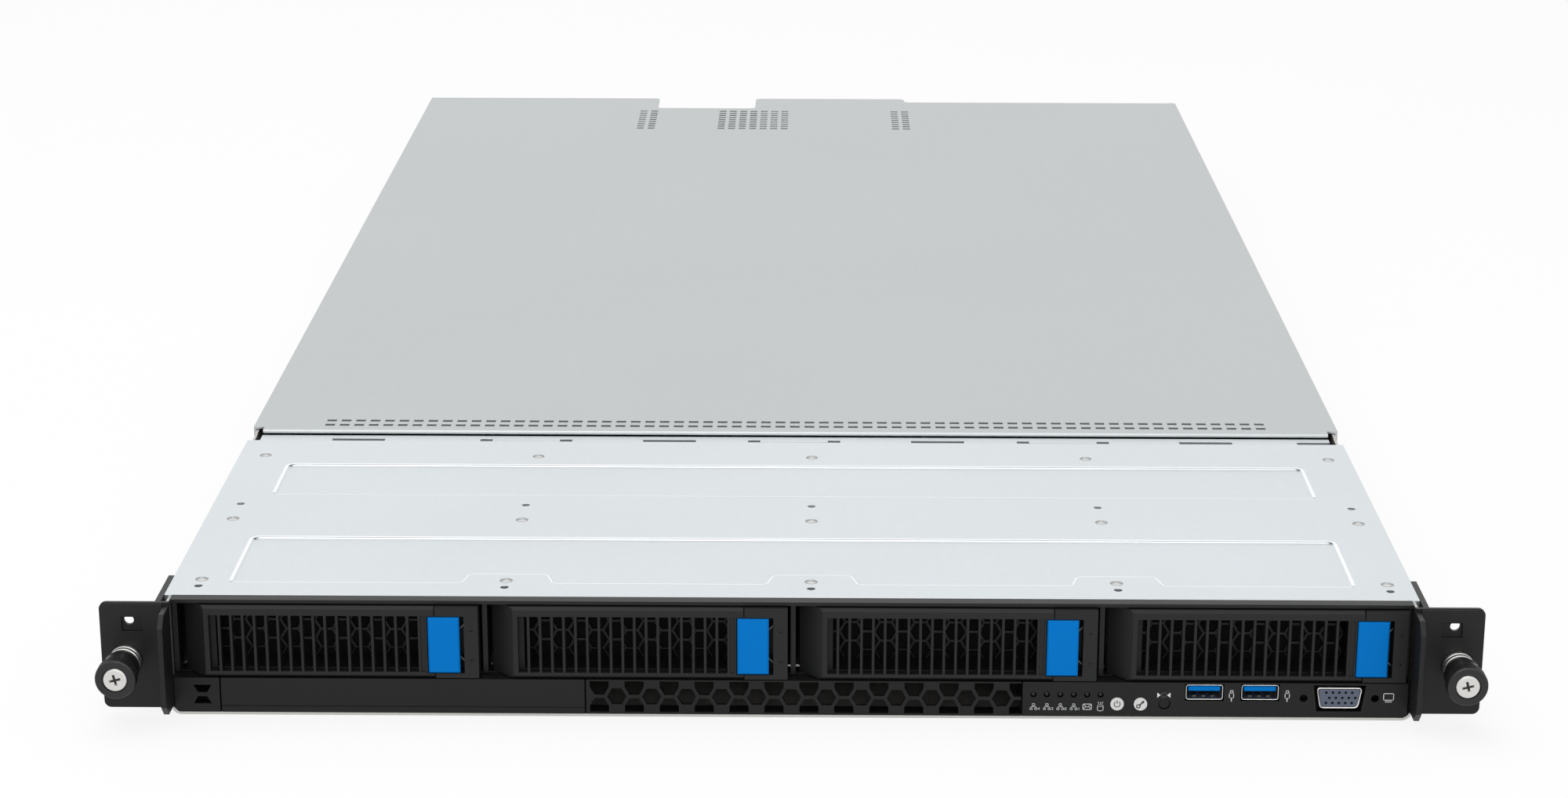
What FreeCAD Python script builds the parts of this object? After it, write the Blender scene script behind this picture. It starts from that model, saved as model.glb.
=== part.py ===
"""A 1U rack server, built as its separate pieces.

The frame: +X to the right as seen from the front, +Y from the front to the rear, +Z up.
The origin is the middle of the chassis' bottom face. Most pieces are drawn with y = 0 at the
plane of the drive fronts (the face plane) and moved back by half the case's length.
"""
import FreeCAD, Part
import Sketcher
import math
import os

doc = FreeCAD.newDocument("RackServer")
sheet = doc.addObject("Spreadsheet::Sheet", "Sizes")
sheet_rows = []
made = []


# ---------------------------------------------------------------------------
# Numbers that remember the sheet cells they come from
# ---------------------------------------------------------------------------
class Size(float):
    """A number with the sheet expression that gives it, so that features can be bound to it."""

    def __new__(cls, value, text):
        number = float.__new__(cls, value)
        number.text = text
        return number

    def __add__(self, other):
        return Size(float(self) + float(other), f"({as_text(self)} + {as_text(other)})")

    def __radd__(self, other):
        return Size(float(other) + float(self), f"({as_text(other)} + {as_text(self)})")

    def __sub__(self, other):
        return Size(float(self) - float(other), f"({as_text(self)} - {as_text(other)})")

    def __rsub__(self, other):
        return Size(float(other) - float(self), f"({as_text(other)} - {as_text(self)})")

    def __mul__(self, other):
        return Size(float(self) * float(other), f"({as_text(self)} * {as_text(other)})")

    def __rmul__(self, other):
        return Size(float(other) * float(self), f"({as_text(other)} * {as_text(self)})")

    def __truediv__(self, other):
        return Size(float(self) / float(other), f"({as_text(self)} / {as_text(other)})")

    def __neg__(self):
        return Size(-float(self), f"(0 - {as_text(self)})")


def as_text(value):
    """The expression of a Size, or a plain number written out."""
    return value.text if isinstance(value, Size) else f"{float(value):.9g}"


def size(alias, value):
    """Write one driving dimension to the sheet and return it."""
    sheet_rows.append(alias)
    row = len(sheet_rows)
    sheet.set(f"A{row}", alias)
    sheet.set(f"B{row}", str(value))
    sheet.setAlias(f"B{row}", alias)
    return Size(value, f"Sizes.{alias}")


# Case and covers (millimetres)
case_length = size("case_length", 842.5)        # face plane to the rear edge of the lid
case_width = size("case_width", 439.5)          # over the covers' side flanges
case_height = size("case_height", 43.6)         # chassis bottom to lid top
steel = size("steel", 1.0)                      # sheet of the chassis and covers
cover_gap = size("cover_gap", 0.25)             # play between a cover and what it closes over
bend_radius = size("bend_radius", 4.0)          # outer radius of the chassis' bottom edges
flange_drop = size("flange_drop", 9.0)          # how far the covers' side flanges reach down
plate_step = size("plate_step", 0.9)            # lid top above front plate top
plate_front = size("plate_front", 6.5)
plate_rear = size("plate_rear", 183.0)
strip_depth = size("strip_depth", 9.6)          # the lowered strip behind the front plate
strip_drop = size("strip_drop", 0.9)
lid_front = size("lid_front", 193.6)
lid_notch = size("lid_notch", 4.4)              # clipped front corners of the lid
emboss_depth = size("emboss_depth", 0.5)
rear_step = size("rear_step", 9.0)              # lid is shorter over the power supplies
rear_recess = size("rear_recess", 27.0)         # finger recess in the lid's rear edge

# Drive trays
tray_pitch = size("tray_pitch", 108.2)
tray_width = size("tray_width", 104.4)
tray_height = size("tray_height", 26.5)
tray_shift = size("tray_shift", 0.8)            # the row of trays sits this far right of centre
tray_bottom = size("tray_bottom", 14.4)
tray_count = 4
drive_width = size("drive_width", 101.6)
drive_length = size("drive_length", 147.0)
drive_height = size("drive_height", 26.1)
drive_front = size("drive_front", 16.0)
tray_floor = size("tray_floor", 0.7)
slot_pitch = size("slot_pitch", 4.12)
slot_width = size("slot_width", 3.2)
slot_first = size("slot_first", 10.1)
slot_count = 18
lever_skin = size("lever_skin", 3.0)
facet_run = size("facet_run", 8.0)              # slanted left end of the lever
frame_end = size("frame_end", 15.4)             # width of the fixed block at the tray's right end
latch_width = size("latch_width", 11.0)
latch_low = size("latch_low", 2.0)
latch_high = size("latch_high", 22.7)
latch_overhang = size("latch_overhang", 2.2)    # latch front that reaches over the lever's end
latch_travel = size("latch_travel", 1.5)
play = size("play", 0.3)                        # between parts that move past each other
hinge_x = size("hinge_x", 5.0)
hinge_y = size("hinge_y", 9.0)
pin_radius = size("pin_radius", 1.0)
pin_clearance = size("pin_clearance", 0.06)
barrel_radius = size("barrel_radius", 2.2)

# Lower front row
row_low = size("row_low", 1.2)
row_high = size("row_high", 14.0)
bay_half = size("bay_half", 217.0)              # half the clear width between the side walls
corner_right = size("corner_right", -200.8)
blank_right = size("blank_right", -71.9)
grille_right = size("grille_right", 81.4)
panel_right = size("panel_right", 216.4)
seam = size("seam", 0.5)                        # open line between neighbouring front pieces
skin = size("skin", 1.6)                        # moulded front skins
moulding_depth = size("moulding_depth", 7.0)

# Ears and thumbscrews
ear_half = size("ear_half", 241.3)              # 482.6 mm over both ears
ear_inner = size("ear_inner", 216.9)
ear_low = size("ear_low", 3.5)
ear_high = size("ear_high", 42.7)
ear_steel = size("ear_steel", 1.4)
ear_cover = size("ear_cover", 0.8)
fin_reach = size("fin_reach", 12.0)
fin_thick = size("fin_thick", 1.8)
leg_length = size("leg_length", 26.0)
screw_half = size("screw_half", 232.55)         # half of the 465.1 mm between rack holes
ear_hole_half = size("ear_hole_half", 231.0)
ear_hole_high = size("ear_hole_high", 36.2)
ear_hole_radius = size("ear_hole_radius", 1.75)
screw_height = size("screw_height", 21.8)
knob_radius = size("knob_radius", 7.1)
knob_face = size("knob_face", 22.0)
ferrule_radius = size("ferrule_radius", 5.6)
ferrule_reach = size("ferrule_reach", 9.5)
screw_radius = size("screw_radius", 2.5)        # threaded end behind the ear
shank_radius = size("shank_radius", 2.1)        # thinner shank that the ferrule holds captive
screw_reach = size("screw_reach", 7.6)

# Inside
cage_front = size("cage_front", 15.0)
cage_rear = size("cage_rear", 166.0)
board_at = size("board_at", 168.5)              # front face of the backplane
board_thick = size("board_thick", 1.6)
fan_front = size("fan_front", 216.0)
fan_size = size("fan_size", 40.0)
fan_depth = size("fan_depth", 56.0)
fan_pitch = size("fan_pitch", 54.0)
fan_count = 5
main_left = size("main_left", -212.0)
main_right = size("main_right", 55.0)
main_front = size("main_front", 300.0)
standoff = size("standoff", 5.0)
bay_wall = size("bay_wall", 60.0)               # left wall of the power supply bay
supply_width = size("supply_width", 73.5)
supply_height = size("supply_height", 39.5)
supply_length = size("supply_length", 185.0)
supply_pitch = size("supply_pitch", 78.5)

face = -case_length / 2
half = case_width / 2
wall_out = half - steel - cover_gap
wall_in = wall_out - steel
lid_top = case_height
lid_low = lid_top - steel
plate_top = case_height - plate_step
plate_low = plate_top - steel
tray_first = tray_shift - 1.5 * tray_pitch - tray_width / 2
lever_end = tray_width - frame_end
latch_left = lever_end - latch_overhang


# ---------------------------------------------------------------------------
# Drawing helpers
# ---------------------------------------------------------------------------
def bind(item, name, value):
    """Tie a property to the sheet, or to a plain number."""
    item.setExpression(name, as_text(value))


def place(item, x=0.0, y=0.0, z=0.0):
    """Tie an object's position to the sheet."""
    bind(item, "Placement.Base.x", x)
    bind(item, "Placement.Base.y", y)
    bind(item, "Placement.Base.z", z)


def block(name, x, y, z):
    """A box between two values along each axis."""
    piece = doc.addObject("Part::Box", name)
    bind(piece, "Length", x[1] - x[0])
    bind(piece, "Width", y[1] - y[0])
    bind(piece, "Height", z[1] - z[0])
    place(piece, x[0], y[0], z[0])
    return piece


def rod(name, radius, length, centre, axis="y"):
    """A cylinder that starts at a centre and runs along +x, +y or +z."""
    piece = doc.addObject("Part::Cylinder", name)
    bind(piece, "Radius", radius)
    bind(piece, "Height", length)
    turns = {
        "x": FreeCAD.Rotation(FreeCAD.Vector(0, 1, 0), 90),
        "y": FreeCAD.Rotation(FreeCAD.Vector(1, 0, 0), -90),
        "z": FreeCAD.Rotation(),
    }
    piece.Placement = FreeCAD.Placement(FreeCAD.Vector(), turns[axis])
    place(piece, *centre)
    return piece


def fuse(name, pieces):
    """Join pieces that overlap or touch into one solid."""
    joined = doc.addObject("Part::MultiFuse", name)
    joined.Shapes = pieces
    joined.Refine = True
    return joined


def group(name, pieces):
    """Keep pieces as separate solids of one node."""
    kept = doc.addObject("Part::Compound", name)
    kept.Links = pieces
    return kept


def cut(name, base, tools):
    """Take one or more tools away from a piece."""
    tool = tools[0] if len(tools) == 1 else group(f"{name}_tools", tools)
    result = doc.addObject("Part::Cut", name)
    result.Base = base
    result.Tool = tool
    return result


def node(item, label, x=0.0, y=0.0, z=0.0):
    """Name a finished sub-part and put it in the case's frame."""
    item.Label = label
    place(item, x, face + y, z)
    made.append(item)
    return item


def origin_plane(body, role):
    """One of a body's own base planes or axes."""
    for feature in body.Origin.OriginFeatures:
        if feature.Role == role:
            return feature
    raise ValueError(role)


def sketch(body, role, offset=0.0):
    """A sketch on one of the body's own base planes, moved along its normal."""
    drawing = body.newObject("Sketcher::SketchObject", f"{body.Name}_sketch")
    drawing.AttachmentSupport = (origin_plane(body, role), [""])
    drawing.MapMode = "FlatFace"
    bind(drawing, "AttachmentOffset.Base.z", offset)
    return drawing


def pin_point(drawing, index, end, across, up):
    """Fix one end of a sketch line to two sizes."""
    for kind, axis_index, value in (("DistanceX", -2, across), ("DistanceY", -1, up)):
        if abs(float(value)) < 1e-9:
            drawing.addConstraint(Sketcher.Constraint("PointOnObject", index, end, axis_index))
            continue
        number = drawing.addConstraint(
            Sketcher.Constraint(kind, -1, 1, index, end, float(value)))
        drawing.setExpression(f"Constraints[{number}]", as_text(value))


def outline(drawing, points):
    """A closed outline of straight lines whose corners are all sizes."""
    first = drawing.GeometryCount
    count = len(points)
    for index, point in enumerate(points):
        after = points[(index + 1) % count]
        start = FreeCAD.Vector(float(point[0]), float(point[1]), 0)
        stop = FreeCAD.Vector(float(after[0]), float(after[1]), 0)
        drawing.addGeometry(Part.LineSegment(start, stop), False)
    for index in range(count):
        drawing.addConstraint(Sketcher.Constraint(
            "Coincident", first + index, 2, first + (index + 1) % count, 1))
    for index, point in enumerate(points):
        pin_point(drawing, first + index, 1, point[0], point[1])
    return drawing


def rectangle(drawing, x, y):
    """A closed rectangle between two values each way."""
    return outline(drawing, [(x[0], y[0]), (x[1], y[0]), (x[1], y[1]), (x[0], y[1])])


def circle(drawing, x, y, radius):
    """A circle with its centre and radius tied to sizes."""
    centre = FreeCAD.Vector(float(x), float(y), 0)
    index = drawing.addGeometry(
        Part.Circle(centre, FreeCAD.Vector(0, 0, 1), float(radius)), False)
    number = drawing.addConstraint(Sketcher.Constraint("Radius", index, float(radius)))
    drawing.setExpression(f"Constraints[{number}]", as_text(radius))
    pin_point(drawing, index, 3, x, y)
    return drawing


def pad(body, drawing, length, back=False):
    """Grow a sketch by a length."""
    feature = body.newObject("PartDesign::Pad", f"{body.Name}_pad")
    feature.Profile = drawing
    bind(feature, "Length", length)
    feature.Reversed = back
    return feature


def pocket(body, drawing, length=None, back=False):
    """Cut a sketch into the body, right through or to a depth."""
    feature = body.newObject("PartDesign::Pocket", f"{body.Name}_pocket")
    feature.Profile = drawing
    feature.Reversed = back
    if length is None:
        feature.Type = "ThroughAll"
        feature.Midplane = True
    else:
        bind(feature, "Length", length)
    return feature


def row_of(body, features, role, spacing, count):
    """Repeat features in a straight row."""
    pattern = body.newObject("PartDesign::LinearPattern", f"{body.Name}_row")
    pattern.Originals = features
    pattern.Direction = (origin_plane(body, role), [""])
    pattern.Mode = "Spacing"
    bind(pattern, "Offset", spacing)
    pattern.Occurrences = count
    body.Tip = pattern
    return pattern


def new_body(name):
    return doc.addObject("PartDesign::Body", name)


def dress(body, kind, edge_test, amount):
    """Chamfer or fillet the edges that pass a test on their two end points."""
    doc.recompute()
    base = body.Tip
    names = []
    for number, edge in enumerate(base.Shape.Edges, start=1):
        ends = [vertex.Point for vertex in edge.Vertexes]
        if len(ends) == 2 and edge_test(ends[0], ends[1]):
            names.append(f"Edge{number}")
    if not names:
        raise ValueError(f"{body.Name}: no edge to dress")
    feature = body.newObject(f"PartDesign::{kind}", f"{body.Name}_{kind.lower()}")
    feature.Base = (base, names)
    bind(feature, "Radius" if kind == "Fillet" else "Size", amount)
    body.Tip = feature
    return feature


def near(value, wanted):
    return abs(value - float(wanted)) < 1e-4


def clip_corner(body, x, z, amount=1.4):
    """Chamfer the edge that runs front to back at (x, z), to clear the chassis' inner bend."""
    dress(body, "Chamfer", lambda a, b: near(a.x, x) and near(b.x, x)
          and near(a.z, z) and near(b.z, z), amount)


def feature_of(name, shape):
    """A sub-part whose shape is made with Part's own functions."""
    item = doc.addObject("Part::Feature", name)
    item.Shape = shape
    return item


def box_grid(name, xs, ys, z, width, depth):
    """Cutters for a grid of small vents, centred on each pair of places."""
    low = float(z[0])
    tall = float(z[1]) - low
    solids = []
    for x in xs:
        for y in ys:
            corner = FreeCAD.Vector(float(x) - float(width) / 2, float(y) - float(depth) / 2, low)
            solids.append(Part.makeBox(float(width), float(depth), tall, corner))
    return feature_of(name, Part.makeCompound(solids))


def steps(first, pitch, count):
    """Evenly spaced places."""
    return [first + index * pitch for index in range(count)]


def span(side, inner, outer):
    """The x values of a piece on the left (-1) or right (+1), lowest first."""
    return (inner, outer) if side > 0 else (-outer, -inner)


# ---------------------------------------------------------------------------
# Chassis, covers and cage
# ---------------------------------------------------------------------------
chassis_front = size("chassis_front", 0.6)
rear_inset = size("rear_inset", 1.5)            # rear panel's face in front of the lid's rear edge
rail_hole_height = size("rail_hole_height", 22.0)
rail_hole_front = size("rail_hole_front", 195.0)
rail_hole_spacing = size("rail_hole_spacing", 420.0)
rail_hole_radius = size("rail_hole_radius", 2.0)
rear_plane = case_length - rear_inset
wall_top = lid_low - cover_gap


def chassis_tray():
    """Bottom sheet and both side walls, folded from one sheet."""
    body = new_body("chassis_tray_body")
    profile = sketch(body, "XZ_Plane", -chassis_front)
    outline(profile, [
        (-wall_out, wall_top), (-wall_out, 0), (wall_out, 0), (wall_out, wall_top),
        (wall_in, wall_top), (wall_in, steel), (-wall_in, steel), (-wall_in, wall_top)])
    pad(body, profile, rear_plane - chassis_front, back=True)
    lowered = sketch(body, "XZ_Plane")
    rectangle(lowered, (-half, half), (plate_low, case_height))
    pocket(body, lowered, lid_front - cover_gap)
    rails = sketch(body, "YZ_Plane")
    circle(rails, rail_hole_front, rail_hole_height, rail_hole_radius)
    circle(rails, rail_hole_front + rail_hole_spacing, rail_hole_height, rail_hole_radius)
    pocket(body, rails)
    dress(body, "Fillet", lambda a, b: near(a.z, 0) and near(b.z, 0)
          and near(abs(a.x), wall_out) and near(a.x, b.x), bend_radius)
    dress(body, "Fillet", lambda a, b: near(a.z, steel) and near(b.z, steel)
          and near(abs(a.x), wall_in) and near(a.x, b.x), bend_radius - steel)
    return node(body, "chassis_tray")


hole_first = size("hole_first", -209.4)
hole_last = size("hole_last", 211.0)
plate_hole_radius = size("plate_hole_radius", 1.5)
rivet_radius = size("rivet_radius", 1.9)
rivet_play = size("rivet_play", 0.05)
rivet_sunk = size("rivet_sunk", 0.25)
emboss_half = size("emboss_half", 198.6)
emboss_slope = 62.0                              # degrees from upright
hole_columns = [hole_first + index * tray_pitch for index in range(4)] + [hole_last]
open_hole_rows = (104.6, 15.6)
rivet_rows = (163.6, 87.6, 22.4)


def strip_slots():
    """Slots of the lowered strip: plain ones, and pairs of end holes joined by a fine slit."""
    slot = (plate_rear + 2.6, plate_rear + 5.8)
    height = (plate_low - 2 * steel, plate_top)
    cutters = []
    for number, middle in enumerate((-175.7, -50.4, 57.5, 165.3)):
        cutters.append(block(f"strip_slot_{number}", (middle - 10.6, middle + 10.6), slot, height))
    cutters.append(block("strip_slot_right", (202.0, half - lid_notch + 1.0), slot, height))
    for number, middle in enumerate((-108.1, -0.2, 107.9)):
        for edge, start in (("left", middle - 18.5), ("right", middle + 13.6)):
            cutters.append(block(f"strip_end_{edge}_{number}", (start, start + 4.9), slot, height))
        slit = (slot[0], slot[0] + 0.7)
        cutters.append(block(f"strip_slit_{number}", (middle - 13.7, middle + 13.7), slit, height))
    return cutters


def front_plate():
    """Top plate over the drives: two pressed fields, rivet holes and the strip the lid meets."""
    body = new_body("front_plate_body")
    top = sketch(body, "XY_Plane", plate_low)
    rectangle(top, (-half, half), (plate_front, plate_rear))
    pad(body, top, steel)
    strip = sketch(body, "XY_Plane", plate_low - strip_drop)
    rectangle(strip, (lid_notch - half, half - lid_notch),
              (plate_rear - 2 * steel, plate_rear + strip_depth))
    pad(body, strip, steel)
    for side in (-1, 1):
        flange = sketch(body, "XY_Plane", plate_top - 0.2 * steel)
        rectangle(flange, span(side, half - steel, half), (plate_front, plate_rear))
        pad(body, flange, flange_drop, back=True)
    rear_field = sketch(body, "XY_Plane", plate_top)
    rectangle(rear_field, (-emboss_half, emboss_half), (116.2, 152.8))
    front_field = sketch(body, "XY_Plane", plate_top)
    near_edge = 19.8
    notch_top = 29.2
    corners = [(-emboss_half, near_edge)]
    for column in hole_columns[1:4]:
        left = column - 16.4
        right = column + 17.2
        corners += [(left, near_edge), (left + 3.0, notch_top),
                    (right - 3.0, notch_top), (right, near_edge)]
    corners += [(emboss_half, near_edge), (emboss_half, 67.6), (-emboss_half, 67.6)]
    outline(front_field, corners)
    for field in (rear_field, front_field):
        pressed = pocket(body, field, emboss_depth)
        pressed.TaperAngle = -emboss_slope
    holes = sketch(body, "XY_Plane", plate_top)
    for column in hole_columns:
        for row in open_hole_rows:
            circle(holes, column, row, plate_hole_radius)
        for row in rivet_rows:
            circle(holes, column, row, rivet_radius + rivet_play)
    pocket(body, holes, 2 * steel)
    plate = cut("front_plate_cut", body, strip_slots())
    return node(plate, "front_plate")


def plate_rivets():
    """Flush rivets that hold the plate to the cage and walls."""
    pieces = []
    for column in hole_columns:
        for row in rivet_rows:
            pieces.append(rod("rivet", rivet_radius, steel - rivet_sunk,
                              (column, row, plate_low), axis="z"))
    return node(group("plate_rivets_group", pieces), "plate_rivets")


vent_width = 3.9
vent_depth = 2.7
vent_pitch = 5.91
vent_columns = 65
rear_vent_rows = 9
rear_vent_pitch = 5.7


def lid_vents():
    """Two rows of small vents behind the front edge and three groups near the rear edge."""
    height = (lid_low - steel, case_height + steel)
    first = -vent_pitch * (vent_columns - 1) / 2
    front_columns = steps(first, vent_pitch, vent_columns)
    front = box_grid("front_vents", front_columns, (lid_front + 7.6, lid_front + 13.4),
                     height, vent_width, vent_depth)
    rear_y = steps(float(case_length) - 81.0, rear_vent_pitch, rear_vent_rows)
    columns = steps(-92.0, 6.2, 2) + steps(-46.0, 6.0, 7) + steps(53.4, 6.2, 2)
    rear = box_grid("rear_vents", columns, rear_y, height, vent_width, 3.4)
    return [front, rear]


recess_left = size("recess_left", -84.5)
recess_right = size("recess_right", -27.5)
step_left = size("step_left", 60.0)
hem_drop = size("hem_drop", 0.35)


def lid():
    """Sliding lid with a folded front edge, vents, a stepped rear edge and its side flanges.

    Each flange is a solid of its own that touches the underside of the top along its whole length.
    """
    body = new_body("lid_body")
    top = sketch(body, "XY_Plane", lid_low)
    notch_rear = lid_front + lid_notch
    outline(top, [
        (lid_notch - half, lid_front), (half - lid_notch, lid_front),
        (half - lid_notch, notch_rear), (half, notch_rear),
        (half, case_length - rear_step), (step_left, case_length - rear_step),
        (step_left, case_length), (recess_right, case_length),
        (recess_right, case_length - rear_recess), (recess_left, case_length - rear_recess),
        (recess_left, case_length), (-half, case_length),
        (-half, notch_rear), (lid_notch - half, notch_rear)])
    pad(body, top, steel)
    hem = sketch(body, "XY_Plane", lid_low + steel / 2)
    rectangle(hem, (lid_notch - half, half - lid_notch), (lid_front, lid_front + 2.5 * steel))
    pad(body, hem, hem_drop + steel / 2, back=True)
    dress(body, "Fillet", lambda a, b: near(a.z, lid_top) and near(b.z, lid_top)
          and near(a.y, lid_front) and near(b.y, lid_front), 0.8 * steel)
    dress(body, "Fillet", lambda a, b: near(a.x, b.x) and near(a.y, b.y)
          and abs(abs(a.z - b.z) - steel) < 0.01 and a.y > case_length - 1.1 * rear_recess
          and abs(a.x) < half - 2 * steel, 3.0)
    sheets = [cut("lid_cut", body, lid_vents())]
    flange_low = lid_low + steel / 2 - flange_drop
    for side, rear in ((-1, case_length), (1, case_length - rear_step)):
        sheets.append(block("lid_flange", span(side, half - steel, half), (notch_rear, rear),
                            (flange_low, lid_low)))
    return node(group("lid_group", sheets), "lid")


rail_front = size("rail_front", 1.7)
post_front = size("post_front", 5.0)
post_rear = size("post_rear", 12.5)
post_half = size("post_half", 0.9)
frame_lap = size("frame_lap", 0.3)              # rail reaches this far down over the posts' tops


def gap_middles():
    """The middle of the gap between each pair of trays."""
    gap = tray_pitch - tray_width
    return [tray_first + index * tray_pitch - gap / 2 for index in range(1, tray_count)]


def front_frame():
    """Black frame around the drive fronts: top rail, sill, end posts and posts between trays."""
    rail = block("frame_rail", (-bay_half, bay_half), (rail_front, plate_front - 0.1),
                 (plate_low - frame_lap, plate_top))
    sill_top = tray_bottom - 0.05
    sill = block("frame_sill", (-bay_half, bay_half), (plate_front, post_rear),
                 (row_high + 0.05, sill_top))
    bars = [rail, sill]
    upright = (sill_top, plate_low - frame_lap)
    for middle in gap_middles():
        bars.append(block("frame_post", (middle - post_half, middle + post_half),
                          (post_front, post_rear), upright))
    tray_row_right = tray_first + (tray_count - 1) * tray_pitch + tray_width
    bars.append(block("frame_left_post", (-bay_half, tray_first - 1.6),
                      (post_front, post_rear), upright))
    bars.append(block("frame_right_post", (tray_row_right + 0.6, bay_half),
                      (post_front, post_rear), upright))
    return node(group("front_frame_group", bars), "front_frame")


cage_steel = size("cage_steel", 0.8)


def drive_cage():
    """Floor under the trays with the walls between the bays, all of thin sheet."""
    floor_top = tray_bottom - 0.15
    along = (cage_front, cage_rear)
    walls = [block("cage_floor", (-bay_half, bay_half), along, (floor_top - cage_steel, floor_top))]
    upright = (floor_top - cage_steel, plate_low)
    places = [middle - cage_steel / 2 for middle in gap_middles()]
    for left in [-bay_half] + places + [bay_half - cage_steel]:
        walls.append(block("cage_wall", (left, left + cage_steel), along, upright))
    return node(fuse("drive_cage_body", walls), "drive_cage")


# ---------------------------------------------------------------------------
# Drive trays, drawn from their own left, front and bottom
# ---------------------------------------------------------------------------
facet_back = size("facet_back", 0.4)
facet_skin = size("facet_skin", 1.6)
slot_low = size("slot_low", 2.2)
slot_high = size("slot_high", 23.1)
ring_low = size("ring_low", 2.6)
side_wall = size("side_wall", 1.0)
side_high = size("side_high", 19.0)
lug_height = size("lug_height", 4.0)
lug_low = size("lug_low", 0.8)
cross_front = size("cross_front", 13.4)
cross_rear = size("cross_rear", 14.8)
latch_proud = size("latch_proud", 0.4)
pocket_deep = size("pocket_deep", 6.2)
front_bevel = size("front_bevel", 1.0)
indicator_x = size("indicator_x", 102.0)
sled_play = 0.2

pocket_right = latch_left + latch_width + latch_travel + 0.1
ring_front = lever_skin + play
lug_top = tray_height - lug_low
facet_front = facet_back + facet_run


def tray_parts(name, item, index):
    """Put a tray piece in its bay."""
    return node(item, name, tray_first + index * tray_pitch, 0.0, tray_bottom)


def tray_carrier(index):
    """Carrier: front ring with hinge lugs and the latch pocket, side walls and a ribbed floor."""
    label = f"tray_{index + 1}_carrier"
    tall = (0.0, tray_height)
    ring = block("ring", (facet_front + 0.7, tray_width), (ring_front, cross_rear), tall)
    cross = block("cross", (sled_play, tray_width - sled_play), (cross_front, cross_rear), tall)
    end = block("end_block", (lever_end + play, tray_width), (0.0, cross_rear), tall)
    parts = [ring, cross, end]
    for number, low in enumerate((lug_low, lug_top - lug_height)):
        heights = (low, low + lug_height)
        parts.append(block(f"lug_arm_{number}", (hinge_x, facet_front + 2.0),
                           (hinge_y - barrel_radius, hinge_y + barrel_radius - 0.1), heights))
        parts.append(rod(f"lug_{number}", barrel_radius - 0.1, lug_height,
                         (hinge_x, hinge_y, low), axis="z"))
    rear = drive_front + drive_length
    for left in (sled_play, tray_width - sled_play - side_wall):
        parts.append(block("sled_wall", (left, left + side_wall), (cross_rear - 0.5, rear),
                           (0.0, side_high)))
    parts.append(block("sled_floor", (sled_play, tray_width - sled_play),
                       (cross_rear - 0.5, rear), (0.0, tray_floor)))
    window = block("ring_window", (facet_front + 3.7, lever_end - 5.0),
                   (0.0, cross_rear + 1.0), (ring_low, tray_height - ring_low))
    floor_window = block("floor_window", (16.0, tray_width - 16.0), (34.0, rear - 24.0),
                         (-1.0, tray_floor + 1.0))
    latch_pocket = block("latch_pocket", (lever_end - 6.0, pocket_right), (-1.0, pocket_deep),
                         (latch_low - play, latch_high + play))
    ring_relief = block("latch_relief", (lever_end - 6.0, lever_end + play + 1.0),
                        (-1.0, pocket_deep), (latch_low - play, latch_high + play))
    indicators = [rod("indicator_hole", 0.5, 2.0, (indicator_x, -0.5, height))
                  for height in (6.8, 17.9)]
    bore = rod("pin_bore", pin_radius, tray_height, (hinge_x, hinge_y, 0.0), axis="z")
    moulding = cut("carrier_moulding", fuse("carrier_solid", parts),
                   [window, floor_window, latch_pocket, ring_relief, bore] + indicators)
    pin = rod("hinge_pin", pin_radius, lug_top - lug_low, (hinge_x, hinge_y, lug_low), axis="z")
    return tray_parts(label, group(f"{label}_group", [moulding, pin]), index)


def tray_lever(index):
    """Slotted front lever with its slanted hinge end, hinge barrel and a notch for the latch."""
    name = f"tray_{index + 1}_lever"
    body = new_body(f"{name}_body")
    slant = facet_skin * math.sqrt(2)
    plan = sketch(body, "XY_Plane")
    outline(plan, [
        (lever_end, 0), (facet_front, 0), (facet_back, facet_run),
        (facet_back + slant / 2, facet_run + slant / 2),
        (facet_front + slant - lever_skin, lever_skin), (lever_end, lever_skin)])
    pad(body, plan, tray_height)
    dress(body, "Chamfer", lambda a, b: near(a.z, b.z) and not near(a.z, tray_height / 2)
          and near(a.y, 0) and near(b.y, 0), front_bevel)
    barrel_low = lug_low + lug_height + play
    barrel = sketch(body, "XY_Plane", barrel_low)
    circle(barrel, hinge_x, hinge_y, barrel_radius)
    barrel_length = lug_top - lug_height - play - barrel_low
    pad(body, barrel, barrel_length)
    web = sketch(body, "XY_Plane", barrel_low)
    web_half = 0.85
    web_reach = 2.15
    outline(web, [
        (hinge_x + web_half, hinge_y - web_half),
        (hinge_x + web_half - web_reach, hinge_y - web_half - web_reach),
        (hinge_x - web_half - web_reach, hinge_y + web_half - web_reach),
        (hinge_x - web_half, hinge_y + web_half)])
    pad(body, web, barrel_length)
    bore = sketch(body, "XY_Plane")
    circle(bore, hinge_x, hinge_y, pin_radius + pin_clearance)
    pocket(body, bore)
    notch = sketch(body, "XZ_Plane")
    rectangle(notch, (latch_left - play, lever_end + 1.0), (latch_low - play, latch_high + play))
    pocket(body, notch)
    band = sketch(body, "XZ_Plane")
    rectangle(band, (latch_left - 2.6, latch_left - play - 0.6), (slot_low, slot_high))
    pocket(body, band, 0.5)
    slots = sketch(body, "XZ_Plane")
    rectangle(slots, (slot_first, slot_first + slot_width), (slot_low, slot_high))
    row_of(body, [pocket(body, slots)], "X_Axis", slot_pitch, slot_count)
    return tray_parts(name, body, index)


stem_left = lever_end + play + 0.3
stem_width = size("stem_width", 4.0)
latch_skin = size("latch_skin", 2.2)


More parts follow.
